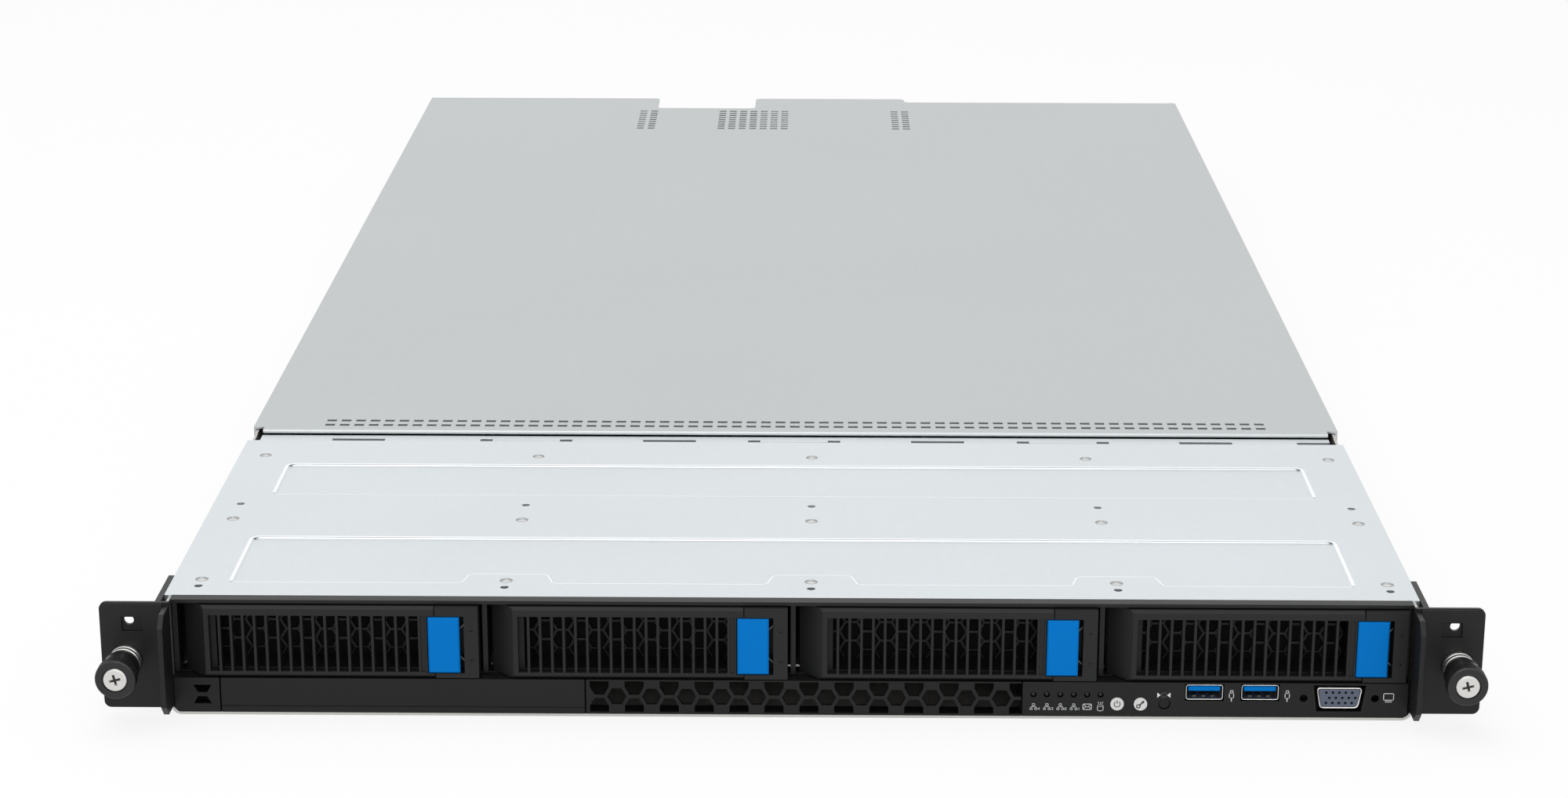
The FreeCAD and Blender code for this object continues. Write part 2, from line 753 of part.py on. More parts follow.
def tray_latch(index):
    """Blue release latch: a bevelled front pad with a stem in the pocket behind it."""
    name = f"tray_{index + 1}_latch"
    body = new_body(f"{name}_body")
    front = sketch(body, "XZ_Plane", latch_proud)
    rectangle(front, (latch_left, latch_left + latch_width), (latch_low, latch_high))
    pad(body, front, latch_proud + latch_skin, back=True)
    dress(body, "Chamfer", lambda a, b: near(a.y, -latch_proud) and near(b.y, -latch_proud), 0.5)
    stem = sketch(body, "XZ_Plane", -latch_skin + 0.1)
    rectangle(stem, (stem_left, stem_left + stem_width), (latch_low + 2.0, latch_high - 2.0))
    pad(body, stem, pocket_deep - play - latch_skin + 0.1, back=True)
    return tray_parts(name, body, index)


spring_half = size("spring_half", 7.2)
spring_sheet = size("spring_sheet", 0.45)


def tray_spring(index):
    """Bent leaf spring between the latch's stem and the pocket's wall."""
    name = f"tray_{index + 1}_spring"
    body = new_body(f"{name}_body")
    middle = (latch_low + latch_high) / 2
    left = stem_left + stem_width + 0.05
    right = pocket_right - 0.05
    bow = sketch(body, "XZ_Plane", -(latch_skin + 0.5))
    outline(bow, [
        (left, middle), (right, middle - spring_half), (right, middle - spring_half + 0.6),
        (left + spring_sheet, middle), (right, middle + spring_half - 0.6),
        (right, middle + spring_half)])
    pad(body, bow, pocket_deep - latch_skin - 1.0, back=True)
    return tray_parts(name, body, index)


connector_width = size("connector_width", 42.0)
connector_height = size("connector_height", 5.0)


def tray_drive(index):
    """A 3.5 inch drive with the notch for its connector."""
    name = f"tray_{index + 1}_drive"
    body = new_body(f"{name}_body")
    left = (tray_width - drive_width) / 2
    low = tray_floor + 0.15
    plan = sketch(body, "XY_Plane", low)
    rectangle(plan, (left, left + drive_width), (drive_front, drive_front + drive_length))
    pad(body, plan, drive_height)
    cover = sketch(body, "XY_Plane", low + drive_height)
    rectangle(cover, (left, left + drive_width), (drive_front, drive_front + 4.0))
    rectangle(cover, (left, left + drive_width),
              (drive_front + drive_length - 14.0, drive_front + drive_length))
    pocket(body, cover, 2.0)
    plug = sketch(body, "XY_Plane", low)
    plug_left = tray_width / 2 - connector_width / 2
    rectangle(plug, (plug_left, plug_left + connector_width),
              (drive_front + drive_length - 6.0, drive_front + drive_length + 1.0))
    pocket(body, plug, connector_height + 2.0, back=True)
    return tray_parts(name, body, index)


def backplane():
    """Backplane board with a drive connector for each bay, held in front of the fans."""
    board = block("backplane_sheet", (-bay_half + 3.0, bay_half - 3.0),
                  (board_at, board_at + board_thick), (steel, plate_low - 2.5))
    parts = [board]
    for index in range(tray_count):
        middle = tray_first + index * tray_pitch + tray_width / 2
        parts.append(block("drive_connector",
                           (middle - connector_width / 2 + 1.0, middle + connector_width / 2 - 1.0),
                           (drive_front + drive_length + 0.4, board_at + 0.1),
                           (tray_bottom + 1.4, tray_bottom + 1.4 + connector_height)))
        air = [block("air_slot", (middle + shift - 8.0, middle + shift + 8.0),
                     (board_at - 1.0, board_at + board_thick + 1.0), (25.0, 37.0))
               for shift in (-36.0, -12.0, 12.0, 36.0)]
        parts[0] = cut("backplane_air", parts[0], air)
    return node(fuse("backplane_body", parts), "backplane_board")


# ---------------------------------------------------------------------------
# Lower front row
# ---------------------------------------------------------------------------
def moulded_cap(name, x):
    """A shallow moulding open at the back."""
    outer = block(f"{name}_outer", x, (0.0, moulding_depth), (row_low, row_high))
    inner = block(f"{name}_inner", (x[0] + skin, x[1] - skin), (skin, moulding_depth + 1.0),
                  (row_low + skin, row_high - skin))
    return cut(f"{name}_shell", outer, [inner])


def corner_piece():
    """Left corner moulding with an hourglass of two openings."""
    body = new_body("corner_body")
    front = sketch(body, "XZ_Plane")
    rectangle(front, (-bay_half + 0.2, corner_right), (row_low, row_high))
    pad(body, front, moulding_depth, back=True)
    clip_corner(body, -bay_half + 0.2, row_low)
    hollow = sketch(body, "XZ_Plane", -skin)
    rectangle(hollow, (-bay_half + 0.2 + skin, corner_right - skin),
              (row_low + skin, row_high - skin))
    pocket(body, hollow, moulding_depth)
    middle = -206.9
    hourglass = sketch(body, "XZ_Plane")
    outline(hourglass, [(middle - 3.2, 11.4), (middle + 3.2, 11.4),
                        (middle + 1.6, 8.5), (middle - 1.6, 8.5)])
    outline(hourglass, [(middle - 1.6, 7.1), (middle + 1.6, 7.1),
                        (middle + 3.2, 4.3), (middle - 3.2, 4.3)])
    pocket(body, hourglass)
    return node(body, "corner_piece")


def blank_panel():
    """Blank cover of the unused front bay."""
    cap = moulded_cap("blank", (corner_right + seam, blank_right - seam))
    groove = block("blank_groove", (corner_right, blank_right), (-1.0, 0.35), (3.4, 3.75))
    return node(cut("blank_grooved", cap, [groove]), "blank_panel")


hex_pitch = size("hex_pitch", 6.14)
hex_height = size("hex_height", 6.0)
hex_width = size("hex_width", 6.7)
hex_row = size("hex_row", 7.8)
hex_first = size("hex_first", -61.1)
hex_web = size("hex_web", 1.2)
hex_low = size("hex_low", 1.9)
hex_high = size("hex_high", 13.5)
hex_count = 12


def hexagon(x, z):
    """Corners of a hexagon that points left and right."""
    return [(x - hex_width / 2, z), (x - hex_width / 4, z - hex_height / 2),
            (x + hex_width / 4, z - hex_height / 2), (x + hex_width / 2, z),
            (x + hex_width / 4, z + hex_height / 2), (x - hex_width / 4, z + hex_height / 2)]


def honeycomb_grille():
    """Perforated intake: a middle row of hexagons and clipped ones above and below."""
    body = new_body("honeycomb_body")
    front = sketch(body, "XZ_Plane")
    rectangle(front, (blank_right, grille_right - seam), (row_low, row_high))
    pad(body, front, moulding_depth, back=True)
    hollow = sketch(body, "XZ_Plane", -skin)
    rectangle(hollow, (blank_right + skin, grille_right - seam - skin),
              (row_low + 0.5, row_high - 0.5))
    pocket(body, hollow, moulding_depth)
    cells = sketch(body, "XZ_Plane")
    outline(cells, hexagon(hex_first, hex_row))
    row_of(body, [pocket(body, cells)], "X_Axis", 2 * hex_pitch, hex_count)
    clipped = sketch(body, "XZ_Plane")
    shift = hex_first - hex_pitch
    step = (hex_height + hex_web) / 2
    outline(clipped, [
        (shift - hex_width / 2, hex_high), (shift - hex_width / 2, hex_row + step),
        (shift - hex_width / 4, hex_row + step - hex_height / 2),
        (shift + hex_width / 4, hex_row + step - hex_height / 2),
        (shift + hex_width / 2, hex_row + step), (shift + hex_width / 2, hex_high)])
    outline(clipped, [
        (shift - hex_width / 2, hex_low), (shift + hex_width / 2, hex_low),
        (shift + hex_width / 2, hex_row - step),
        (shift + hex_width / 4, hex_row - step + hex_height / 2),
        (shift - hex_width / 4, hex_row - step + hex_height / 2),
        (shift - hex_width / 2, hex_row - step)])
    row_of(body, [pocket(body, clipped)], "X_Axis", 2 * hex_pitch, hex_count + 1)
    return node(body, "honeycomb_grille")


# ---------------------------------------------------------------------------
# Control panel, its board, buttons and sockets
# ---------------------------------------------------------------------------
lamp_first = size("lamp_first", 85.2)
lamp_pitch = size("lamp_pitch", 4.71)
lamp_height = size("lamp_height", 9.3)
lamp_radius = size("lamp_radius", 1.1)
lamp_count = 6
power_x = size("power_x", 114.6)
reset_x = size("reset_x", 122.8)
locate_x = size("locate_x", 131.2)
button_height = size("button_height", 6.0)
button_radius = size("button_radius", 2.35)
locate_radius = size("locate_radius", 1.9)
button_play = size("button_play", 0.2)
button_travel = size("button_travel", 0.6)
usb_first = size("usb_first", 145.1)
usb_pitch = size("usb_pitch", 19.5)
usb_height = size("usb_height", 10.4)
usb_wide = size("usb_wide", 13.1)
usb_tall = size("usb_tall", 5.7)
usb_deep = size("usb_deep", 14.0)
shell = size("shell", 0.35)
video_x = size("video_x", 192.4)
video_height = size("video_height", 8.4)
video_wide = size("video_wide", 16.3)
video_tall = size("video_tall", 7.9)
video_screw = size("video_screw", 12.5)
video_lug_half = size("video_lug_half", 2.4)
cut_out_play = size("cut_out_play", 0.3)
panel_board_low = size("panel_board_low", 5.9)


def shield(x, z, grow=0.0):
    """Corners of the video socket's D outline, wider at the top."""
    wide = video_wide / 2 + grow
    tall = video_tall / 2 + grow
    return [(x - wide, z + tall), (x + wide, z + tall),
            (x + wide - 1.4, z - tall), (x - wide + 1.4, z - tall)]


def control_panel():
    """Moulded panel with lamp holes, three button holes, two USB windows and a video window."""
    body = new_body("control_panel_body")
    front = sketch(body, "XZ_Plane")
    rectangle(front, (grille_right, panel_right), (row_low, row_high))
    pad(body, front, moulding_depth, back=True)
    clip_corner(body, panel_right, row_low)
    hollow = sketch(body, "XZ_Plane", -skin)
    rectangle(hollow, (grille_right + skin, panel_right - skin),
              (row_low + 0.6, row_high - 0.6))
    pocket(body, hollow, moulding_depth)
    holes = sketch(body, "XZ_Plane")
    for index in range(lamp_count):
        circle(holes, lamp_first + index * lamp_pitch, lamp_height, lamp_radius)
    for x, radius in ((power_x, button_radius), (reset_x, button_radius),
                      (locate_x, locate_radius)):
        circle(holes, x, button_height, radius + button_play)
    for side in (-1, 1):
        circle(holes, video_x + side * video_screw, video_height, 1.4)
    for index in range(2):
        middle = usb_first + index * usb_pitch
        wide = usb_wide / 2 + cut_out_play
        tall = usb_tall / 2 + cut_out_play
        rectangle(holes, (middle - wide, middle + wide), (usb_height - tall, usb_height + tall))
    outline(holes, shield(video_x, video_height, 1.0))
    pocket(body, holes)
    return node(body, "control_panel")


def control_board():
    """Board behind the control panel, with the lamps and button switches on it."""
    sheet_front = moulding_depth + 0.6
    board = block("control_board_whole", (grille_right + 3.0, panel_right - 3.0),
                  (sheet_front, 46.0), (panel_board_low, panel_board_low + board_thick))
    gap_half = video_screw + video_lug_half + cut_out_play
    video_gap = block("video_gap", (video_x - gap_half, video_x + gap_half),
                      (sheet_front - 1.0, 15.0), (panel_board_low - 1.0, panel_board_low + 4.0))
    top = panel_board_low + board_thick
    parts = [cut("control_board_sheet", board, [video_gap])]
    for x in (grille_right + 8.0, panel_right - 10.0):
        parts.append(block("board_post", (x - 2.5, x + 2.5), (34.0, 42.0),
                           (steel, panel_board_low + 0.1)))
    for index in range(lamp_count):
        x = lamp_first + index * lamp_pitch
        parts.append(block("lamp", (x - 0.9, x + 0.9), (skin + 0.4, 12.0),
                           (lamp_height - 0.9, lamp_height + 0.9)))
        parts.append(block("lamp_leg", (x - 0.5, x + 0.5), (9.0, 11.0), (top, lamp_height)))
    for x in (power_x, reset_x, locate_x):
        parts.append(block("switch", (x - 1.8, x + 1.8),
                           (sheet_front, sheet_front + 3.4), (button_height - 1.8, top + 1.2)))
    return node(fuse("control_board_body", parts), "control_board")


def push_button(name, x, radius, proud):
    """Round cap turned in one piece with the collar that keeps it behind the panel."""
    body = new_body(f"{name}_body")
    reach = moulding_depth + 0.3 - button_travel
    collar = skin + 0.3
    half_section = sketch(body, "XY_Plane")
    outline(half_section, [
        (0, -proud), (radius, -proud), (radius, collar), (radius + 0.6, collar),
        (radius + 0.6, collar + 0.8), (radius * 0.6, collar + 0.8), (radius * 0.6, reach),
        (0, reach)])
    turned = body.newObject("PartDesign::Revolution", f"{name}_turned")
    turned.Profile = half_section
    turned.ReferenceAxis = (origin_plane(body, "Y_Axis"), [""])
    turned.Angle = 360
    return node(body, name, x, 0.0, button_height)


def usb_sockets():
    """Two metal shells, each with a tongue in the upper half and a moulded back."""
    pieces = []
    for index in range(2):
        middle = usb_first + index * usb_pitch
        outer_x = (middle - usb_wide / 2, middle + usb_wide / 2)
        outer_z = (usb_height - usb_tall / 2, usb_height + usb_tall / 2)
        solid = block("usb_solid", outer_x, (0.3, usb_deep), outer_z)
        hollow = block("usb_hollow", (outer_x[0] + shell, outer_x[1] - shell), (-1.0, usb_deep - 2.0),
                       (outer_z[0] + shell, outer_z[1] - shell))
        pieces.append(cut("usb_shell", solid, [hollow]))
        pieces.append(block("usb_tongue", (middle - 5.6, middle + 5.6), (0.9, usb_deep - 2.0),
                            (usb_height + 0.2, usb_height + 2.0)))
    return node(group("usb_sockets_group", pieces), "usb_sockets")


def video_socket():
    """D-shaped shell with its moulded insert."""
    body = new_body("video_body")
    rim = sketch(body, "XZ_Plane", -0.3)
    outline(rim, shield(video_x, video_height))
    pad(body, rim, 14.0, back=True)
    inner = sketch(body, "XZ_Plane", -0.3)
    outline(inner, shield(video_x, video_height, -0.5))
    pocket(body, inner, 9.0)
    insert = new_body("video_insert_body")
    face_of_insert = sketch(insert, "XZ_Plane", -0.9)
    outline(face_of_insert, shield(video_x, video_height, -0.8))
    pad(insert, face_of_insert, 8.6, back=True)
    lugs = []
    for side in (-1, 1):
        x = video_x + side * video_screw
        lugs.append(block("video_lug", (x - video_lug_half, x + video_lug_half),
                          (moulding_depth + 0.6, moulding_depth + 5.0), (5.0, 12.0)))
    return node(group("video_socket_group", [body, insert] + lugs), "video_socket")


# ---------------------------------------------------------------------------
# Ears and thumbscrews
# ---------------------------------------------------------------------------
window_middle = size("window_middle", 229.8)
window_wide = size("window_wide", 7.3)
window_low = size("window_low", 32.2)
window_high = size("window_high", 37.6)
shaft_clearance = size("shaft_clearance", 0.08)
leg_gap = size("leg_gap", 0.1)
leg_thick = size("leg_thick", 2.0)
fin_round = size("fin_round", 4.0)


def ear(side, name):
    """Steel ear: rack flange with its holes, leg along the case side and a finger fin in front."""
    body = new_body(f"{name}_body")
    tall = (ear_low, ear_high)
    flange = sketch(body, "XZ_Plane", ear_steel)
    rectangle(flange, span(side, ear_inner, ear_half), tall)
    pad(body, flange, ear_steel, back=True)
    leg = sketch(body, "XZ_Plane", 0.1)
    rectangle(leg, span(side, half + leg_gap, half + leg_gap + leg_thick), tall)
    pad(body, leg, leg_length + 0.1, back=True)
    fin = sketch(body, "YZ_Plane", side * ear_inner)
    top = ear_high - 1.2
    low = ear_low + 0.8
    front = -(ear_steel + ear_cover + fin_reach)
    outline(fin, [(0, low), (0, top), (front + fin_round, top), (front, top - fin_round),
                  (front, low + fin_round), (front + fin_round, low)])
    pad(body, fin, fin_thick, back=side < 0)
    holes = sketch(body, "XZ_Plane")
    circle(holes, side * ear_hole_half, ear_hole_high, ear_hole_radius)
    circle(holes, side * screw_half, screw_height, screw_radius + 0.6)
    pocket(body, holes)
    dress(body, "Fillet", lambda a, b: near(abs(a.x), ear_half) and near(abs(b.x), ear_half)
          and near(a.z, b.z), 2.5)
    return node(body, name)


def ear_covers():
    """Thin moulded cover on each ear, with a square window in front of the flange's small hole."""
    covers = []
    for side in (-1, 1):
        body = new_body("ear_cover_body")
        outer = sketch(body, "XZ_Plane", ear_steel + ear_cover)
        rectangle(outer, span(side, ear_inner + fin_thick + 0.3, ear_half - 0.2),
                  (ear_low + 0.2, ear_high - 0.2))
        pad(body, outer, ear_cover, back=True)
        holes = sketch(body, "XZ_Plane")
        rectangle(holes, span(side, window_middle - window_wide / 2,
                              window_middle + window_wide / 2), (window_low, window_high))
        circle(holes, side * screw_half, screw_height, ferrule_radius + 0.2)
        pocket(body, holes)
        dress(body, "Fillet", lambda a, b: near(abs(a.x), ear_half - 0.2)
              and near(abs(b.x), ear_half - 0.2) and near(a.z, b.z), 2.5)
        covers.append(body)
    return node(group("ear_covers_group", covers), "ear_covers")


def turned_ring(name, x, outer, inner, y):
    """A plain sleeve along y."""
    length = y[1] - y[0]
    body = rod(f"{name}_outer", outer, length, (x, y[0], screw_height))
    bore = rod(f"{name}_bore", inner, length + 2.0, (x, y[0] - 1.0, screw_height))
    return cut(f"{name}_sleeve", body, [bore])


def thumbscrew_ferrules():
    """Bright sleeves pressed into the ears, which hold the thumbscrews captive."""
    sleeves = []
    for side in (-1, 1):
        sleeves.append(turned_ring("ferrule", side * screw_half, ferrule_radius,
                                   shank_radius + shaft_clearance, (-ferrule_reach, -ear_steel)))
    return node(group("ferrules_group", sleeves), "thumbscrew_ferrules")


def thumbscrew(side, name):
    """Knob pressed on a screw; the screw's head stands in a shallow dish in the knob's face."""
    x = side * screw_half
    knob = rod(f"{name}_knob", knob_radius, knob_face - ferrule_reach - play,
               (x, -knob_face, screw_height))
    dish = rod(f"{name}_dish", 4.5, 1.6, (x, -knob_face - 1.0, screw_height))
    bore = rod(f"{name}_bore", shank_radius, knob_face, (x, -knob_face, screw_height))
    grip = cut(f"{name}_grip", knob, [dish, bore])
    head = rod(f"{name}_head", 4.15, 1.0, (x, -knob_face - 0.2, screw_height))
    shank = rod(f"{name}_shank", shank_radius, knob_face, (x, -knob_face + 0.6, screw_height))
    thread = rod(f"{name}_thread", screw_radius, screw_reach, (x, 0.0, screw_height))
    screw = fuse(f"{name}_screw", [head, shank, thread])
    return node(group(f"{name}_group", [grip, screw]), name)


# ---------------------------------------------------------------------------
# Fans
# ---------------------------------------------------------------------------
fan_bore = size("fan_bore", 18.8)
hub_radius = size("hub_radius", 8.6)
blade_tip = size("blade_tip", 17.2)             # flat end of a blade; its corners reach 18.3
blade_chord = size("blade_chord", 15.0)
blade_thick = size("blade_thick", 1.0)
blade_pitch = 40.0                              # degrees from the fan's plane
fan_shaft = size("fan_shaft", 1.5)
rotor_front = size("rotor_front", 6.0)
rotor_length = size("rotor_length", 26.0)
blade_count = 7
fan_first = (main_left + main_right) / 2 - fan_pitch * (fan_count - 1) / 2


def fan_middle(index):
    return fan_first + index * fan_pitch


def fan_housings():
    """Five square fan tunnels, each with struts, a motor base and a shaft."""
    housings = []
    rear = fan_front + fan_depth
    for index in range(fan_count):
        x = fan_middle(index)
        z = steel + fan_size / 2
        outer = block("fan_outer", (x - fan_size / 2, x + fan_size / 2), (fan_front, rear),
                      (steel, steel + fan_size))
        bore = rod("fan_bore", fan_bore, fan_depth + 2.0, (x, fan_front - 1.0, z))
        tunnel = cut("fan_tunnel", outer, [bore])
        base_front = fan_front + rotor_front + rotor_length + 0.6
        base = rod("fan_base", hub_radius, 8.0, (x, base_front, z))
        shaft = rod("fan_shaft", fan_shaft, 18.0, (x, base_front - 16.0, z))
        struts = [block("fan_strut", (x - fan_bore - 0.4, x + fan_bore + 0.4),
                        (base_front + 3.0, base_front + 6.0), (z - 1.0, z + 1.0)),
                  block("fan_strut", (x - 1.0, x + 1.0), (base_front + 3.0, base_front + 6.0),
                        (z - fan_bore - 0.4, z + fan_bore + 0.4))]
        housings.append(fuse("fan_housing", [tunnel, base, shaft] + struts))
    return node(group("fan_housings_group", housings), "fan_housings")


def fan_rotor(index):
    """Hub with pitched blades round it and a blind bore for the shaft."""
    name = f"fan_rotor_{index + 1}"
    body = new_body(f"{name}_body")
    hub = sketch(body, "XZ_Plane")
    circle(hub, 0, 0, hub_radius)
    pad(body, hub, rotor_length, back=True)
    lean = math.radians(blade_pitch)
    reach = blade_chord / 2 * math.cos(lean)
    root = hub_radius - 2.4
    blade = sketch(body, "XY_Plane", root)
    corners = []
    for across, through in ((-1, -1), (1, -1), (1, 1), (-1, 1)):
        x = across * reach - through * math.sin(lean) * blade_thick / 2
        y = across * math.sin(lean) * blade_chord / 2 + through * math.cos(lean) * blade_thick / 2
        corners.append((x, y + rotor_length / 2))
    outline(blade, corners)
    first_blade = pad(body, blade, blade_tip - root)
    blades = body.newObject("PartDesign::PolarPattern", f"{name}_blades")
    blades.Originals = [first_blade]
    blades.Axis = (origin_plane(body, "Y_Axis"), [""])
    blades.Angle = 360
    blades.Occurrences = blade_count
    body.Tip = blades
    bore = sketch(body, "XZ_Plane", -rotor_length)
    circle(bore, 0, 0, fan_shaft + shaft_clearance)
    pocket(body, bore, rotor_length - 10.0, back=True)
    return node(body, name, fan_middle(index), fan_front + rotor_front, steel + fan_size / 2)


# ---------------------------------------------------------------------------
# Main board
# ---------------------------------------------------------------------------
board_top = standoff + steel + board_thick
socket_x = size("socket_x", -78.0)
socket_y = size("socket_y", 480.0)
sink_wide = size("sink_wide", 78.0)
sink_long = size("sink_long", 118.0)
sink_base = size("sink_base", 4.0)
sink_high = size("sink_high", 26.0)
fin_pitch = size("fin_pitch", 3.3)
fin_width = size("fin_width", 0.8)
module_count = 8
module_pitch = size("module_pitch", 8.4)
module_length = size("module_length", 133.35)
module_thick = size("module_thick", 3.6)
module_high = size("module_high", 31.2)
module_offset = size("module_offset", 48.0)
main_rear = case_length - rear_recess - 4.0


def module_places():
    """Middles of the memory slots, one bank each side of the processor."""
    left = [socket_x - module_offset - index * module_pitch for index in range(module_count)]
    right = [socket_x + module_offset + index * module_pitch for index in range(module_count)]
    return left + right


def mainboard():
    """Board on standoffs with its sockets, regulators and expansion connectors."""
    parts = [block("main_sheet", (main_left, main_right), (main_front, main_rear),
                   (standoff + steel, board_top))]
    for x in (main_left + 8.0, main_right - 8.0):
        for y in (main_front + 8.0, (main_front + main_rear) / 2, main_rear - 8.0):
            parts.append(rod("standoff", 3.0, standoff + 0.2, (x, y, steel), axis="z"))
    low = board_top - 0.1
    for x in module_places():
        parts.append(block("module_slot", (x - 3.3, x + 3.3),
                           (socket_y - module_length / 2 - 4.0, socket_y + module_length / 2 + 4.0),
                           (low, board_top + 3.2)))
    parts.append(block("processor_socket", (socket_x - 32.0, socket_x + 32.0),
                       (socket_y - 40.0, socket_y + 40.0), (low, board_top + 5.0)))
    for index in range(6):
        left = socket_x - 36.0 + index * 12.5
        parts.append(block("regulator", (left, left + 9.0), (socket_y - 92.0, socket_y - 80.0),
                           (low, board_top + 7.0)))
    parts.append(block("controller_cover", (-60.0, -24.0), (640.0, 676.0), (low, board_top + 12.0)))
    parts.append(rod("clock_cell", 10.0, 4.0, (30.0, 610.0, low), axis="z"))
    for x in (-190.0, -150.0, -110.0, 0.0):
        parts.append(block("cable_socket", (x, x + 26.0), (main_front + 6.0, main_front + 15.0),
                           (low, board_top + 8.0)))
    parts.append(block("power_edge", (main_right - 14.0, main_right - 1.0), (640.0, 700.0),
                       (low, board_top + 9.0)))
    return node(fuse("mainboard_body", parts), "mainboard")


def heatsink():
    """Passive heatsink with straight fins along the air path."""
    body = new_body("heatsink_body")
    low = board_top + 5.0 + 0.1
    left = socket_x - sink_wide / 2
    along = (socket_y - sink_long / 2, socket_y + sink_long / 2)
    base = sketch(body, "XY_Plane", low)
    rectangle(base, (left, left + sink_wide), along)
    pad(body, base, sink_base)
    fin = sketch(body, "XY_Plane", low + sink_base - 0.2)
    rectangle(fin, (left, left + fin_width), (along[0], along[1]))
    first = pad(body, fin, sink_high - sink_base)
    row_of(body, [first], "X_Axis", fin_pitch, 24)
    return node(body, "processor_heatsink")


def memory_modules():
    """Sixteen memory modules standing in their slots."""
    low = board_top + 3.2
    pieces = []
    for x in module_places():
        pieces.append(block("module", (x - module_thick / 2, x + module_thick / 2),
                            (socket_y - module_length / 2, socket_y + module_length / 2),
                            (low, low + module_high - 3.2)))
    return node(group("memory_group", pieces), "memory_modules")


# ---------------------------------------------------------------------------
# Rear
# ---------------------------------------------------------------------------
port_plane = case_length - rear_recess - 2.0
full_slot = (-206.0, -92.0)
half_slot = (-20.0, 54.0)
slot_heights = (22.6, 39.4)
jack_width = size("jack_width", 16.0)
jack_height = size("jack_height", 13.4)
jack_depth = size("jack_depth", 21.0)
jack_pitch = size("jack_pitch", 17.0)
jack_first = size("jack_first", -81.5)
rear_usb_x = size("rear_usb_x", -38.6)
bay_front = size("bay_front", 640.0)


def rear_vents(name, x, z, plane):
    """A block of square vents through the rear panel."""
    pitch = 7.4
    opening = 5.8
    columns = int((float(x[1]) - float(x[0])) // pitch)
    rows = int((float(z[1]) - float(z[0])) // pitch)
    solids = []
    for column in range(columns):
        for row in range(rows):
            corner = FreeCAD.Vector(float(x[0]) + column * pitch, float(plane) - 6.0,
                                    float(z[0]) + row * pitch)
            solids.append(Part.makeBox(opening, 12.0, opening, corner))
    return feature_of(name, Part.makeCompound(solids))


def rear_panel():
    """Rear wall, stepped forward at the sockets and turned forward as the supply bay's wall.

    The sheet that parts the two supplies belongs to it.
    """
    body = new_body("rear_panel_body")
    plan = sketch(body, "XY_Plane", steel)
    inner = rear_plane - steel
    back = port_plane - steel
    outline(plan, [
        (-wall_in, rear_plane), (recess_left - 1.5, rear_plane), (recess_left - 1.5, port_plane),
        (recess_right + 1.5, port_plane), (recess_right + 1.5, rear_plane),
        (bay_wall, rear_plane), (bay_wall, bay_front), (bay_wall - steel, bay_front),
        (bay_wall - steel, inner), (recess_right + 1.5 + steel, inner),
        (recess_right + 1.5 + steel, back), (recess_left - 1.5 - steel, back),
        (recess_left - 1.5 - steel, inner), (-wall_in, inner)])
    pad(body, plan, wall_top - 0.1 - steel)
    clip_corner(body, -wall_in, steel, 2.6)
    through = (port_plane - 4.0, rear_plane + 4.0)
    tools = [
        block("full_slot_cut", full_slot, through, slot_heights),
        block("half_slot_cut", half_slot, through, slot_heights),
        rear_vents("left_vents", (full_slot[0], full_slot[1]), (4.0, 20.0), rear_plane),
        rear_vents("right_vents", (half_slot[0], half_slot[1]), (4.0, 20.0), rear_plane),
        rear_vents("recess_vents", (recess_left + 2.0, recess_right - 2.0), (25.0, 40.0),
                   port_plane)]
    for index in range(2):
        left = jack_first + index * jack_pitch
        tools.append(block("jack_cut", (left - 0.2, left + jack_width + 0.2),
                           (port_plane - 4.0, port_plane + 4.0),
                           (board_top, board_top + jack_height + 0.3)))
    tools.append(block("usb_cut", (rear_usb_x - 7.0, rear_usb_x + 7.0),
                       (port_plane - 4.0, port_plane + 4.0), (board_top, board_top + 14.5)))
    middle = supply_place(1) - (supply_pitch - supply_width) / 2
    divider = block("divider", (middle - steel / 2, middle + steel / 2),
                    (bay_front, rear_plane - 20.0), (steel, supply_low + supply_height - 1.0))
    wall = cut("rear_panel_cut", body, tools)
    return node(group("rear_panel_group", [wall, divider]), "rear_panel")


def slot_covers():
    """Blank brackets in both expansion slots, with a folded lip at one end."""
    pieces = []
    for x in (full_slot, half_slot):
        inner = rear_plane - steel
        plate = block("slot_plate", (x[0] - 2.0, x[1] + 2.0), (inner - 0.9, inner - 0.05),
                      (slot_heights[0] - 1.5, slot_heights[1] + 0.8))
        lip = block("slot_lip", (x[0] - 2.0, x[0] + 4.0), (inner - 12.0, inner - 0.1),
                    (slot_heights[0] - 1.5, slot_heights[0] - 0.6))
        pieces.append(fuse("slot_cover", [plate, lip]))
    return node(group("slot_covers_group", pieces), "slot_covers")


def rear_sockets():
    """Two network jacks and a stack of two USB sockets on the main board's rear edge."""
    pieces = []
    front = port_plane + 0.4 - jack_depth
    for index in range(2):
        left = jack_first + index * jack_pitch
        housing = block("jack", (left, left + jack_width), (front, port_plane + 0.4),
                        (board_top + 0.02, board_top + jack_height))
        hollow = block("jack_hollow", (left + 2.1, left + jack_width - 2.1),
                       (port_plane - 12.0, port_plane + 2.0),
                       (board_top + 3.0, board_top + jack_height - 2.2))
        pieces.append(cut("jack_shell", housing, [hollow]))
    low = board_top + 0.02
    stack = block("usb_stack", (rear_usb_x - usb_wide / 2, rear_usb_x + usb_wide / 2),
                  (front, port_plane + 0.4), (low, low + 14.0))
    hollows = []
    for level in (0.8, 7.5):
        hollows.append(block("usb_stack_hollow", (rear_usb_x - 6.1, rear_usb_x + 6.1),
                             (port_plane - 9.0, port_plane + 2.0),
                             (low + level, low + level + 3.0)))
    pieces.append(cut("usb_stack_shell", stack, hollows))
    return node(group("rear_sockets_group", pieces), "rear_sockets")


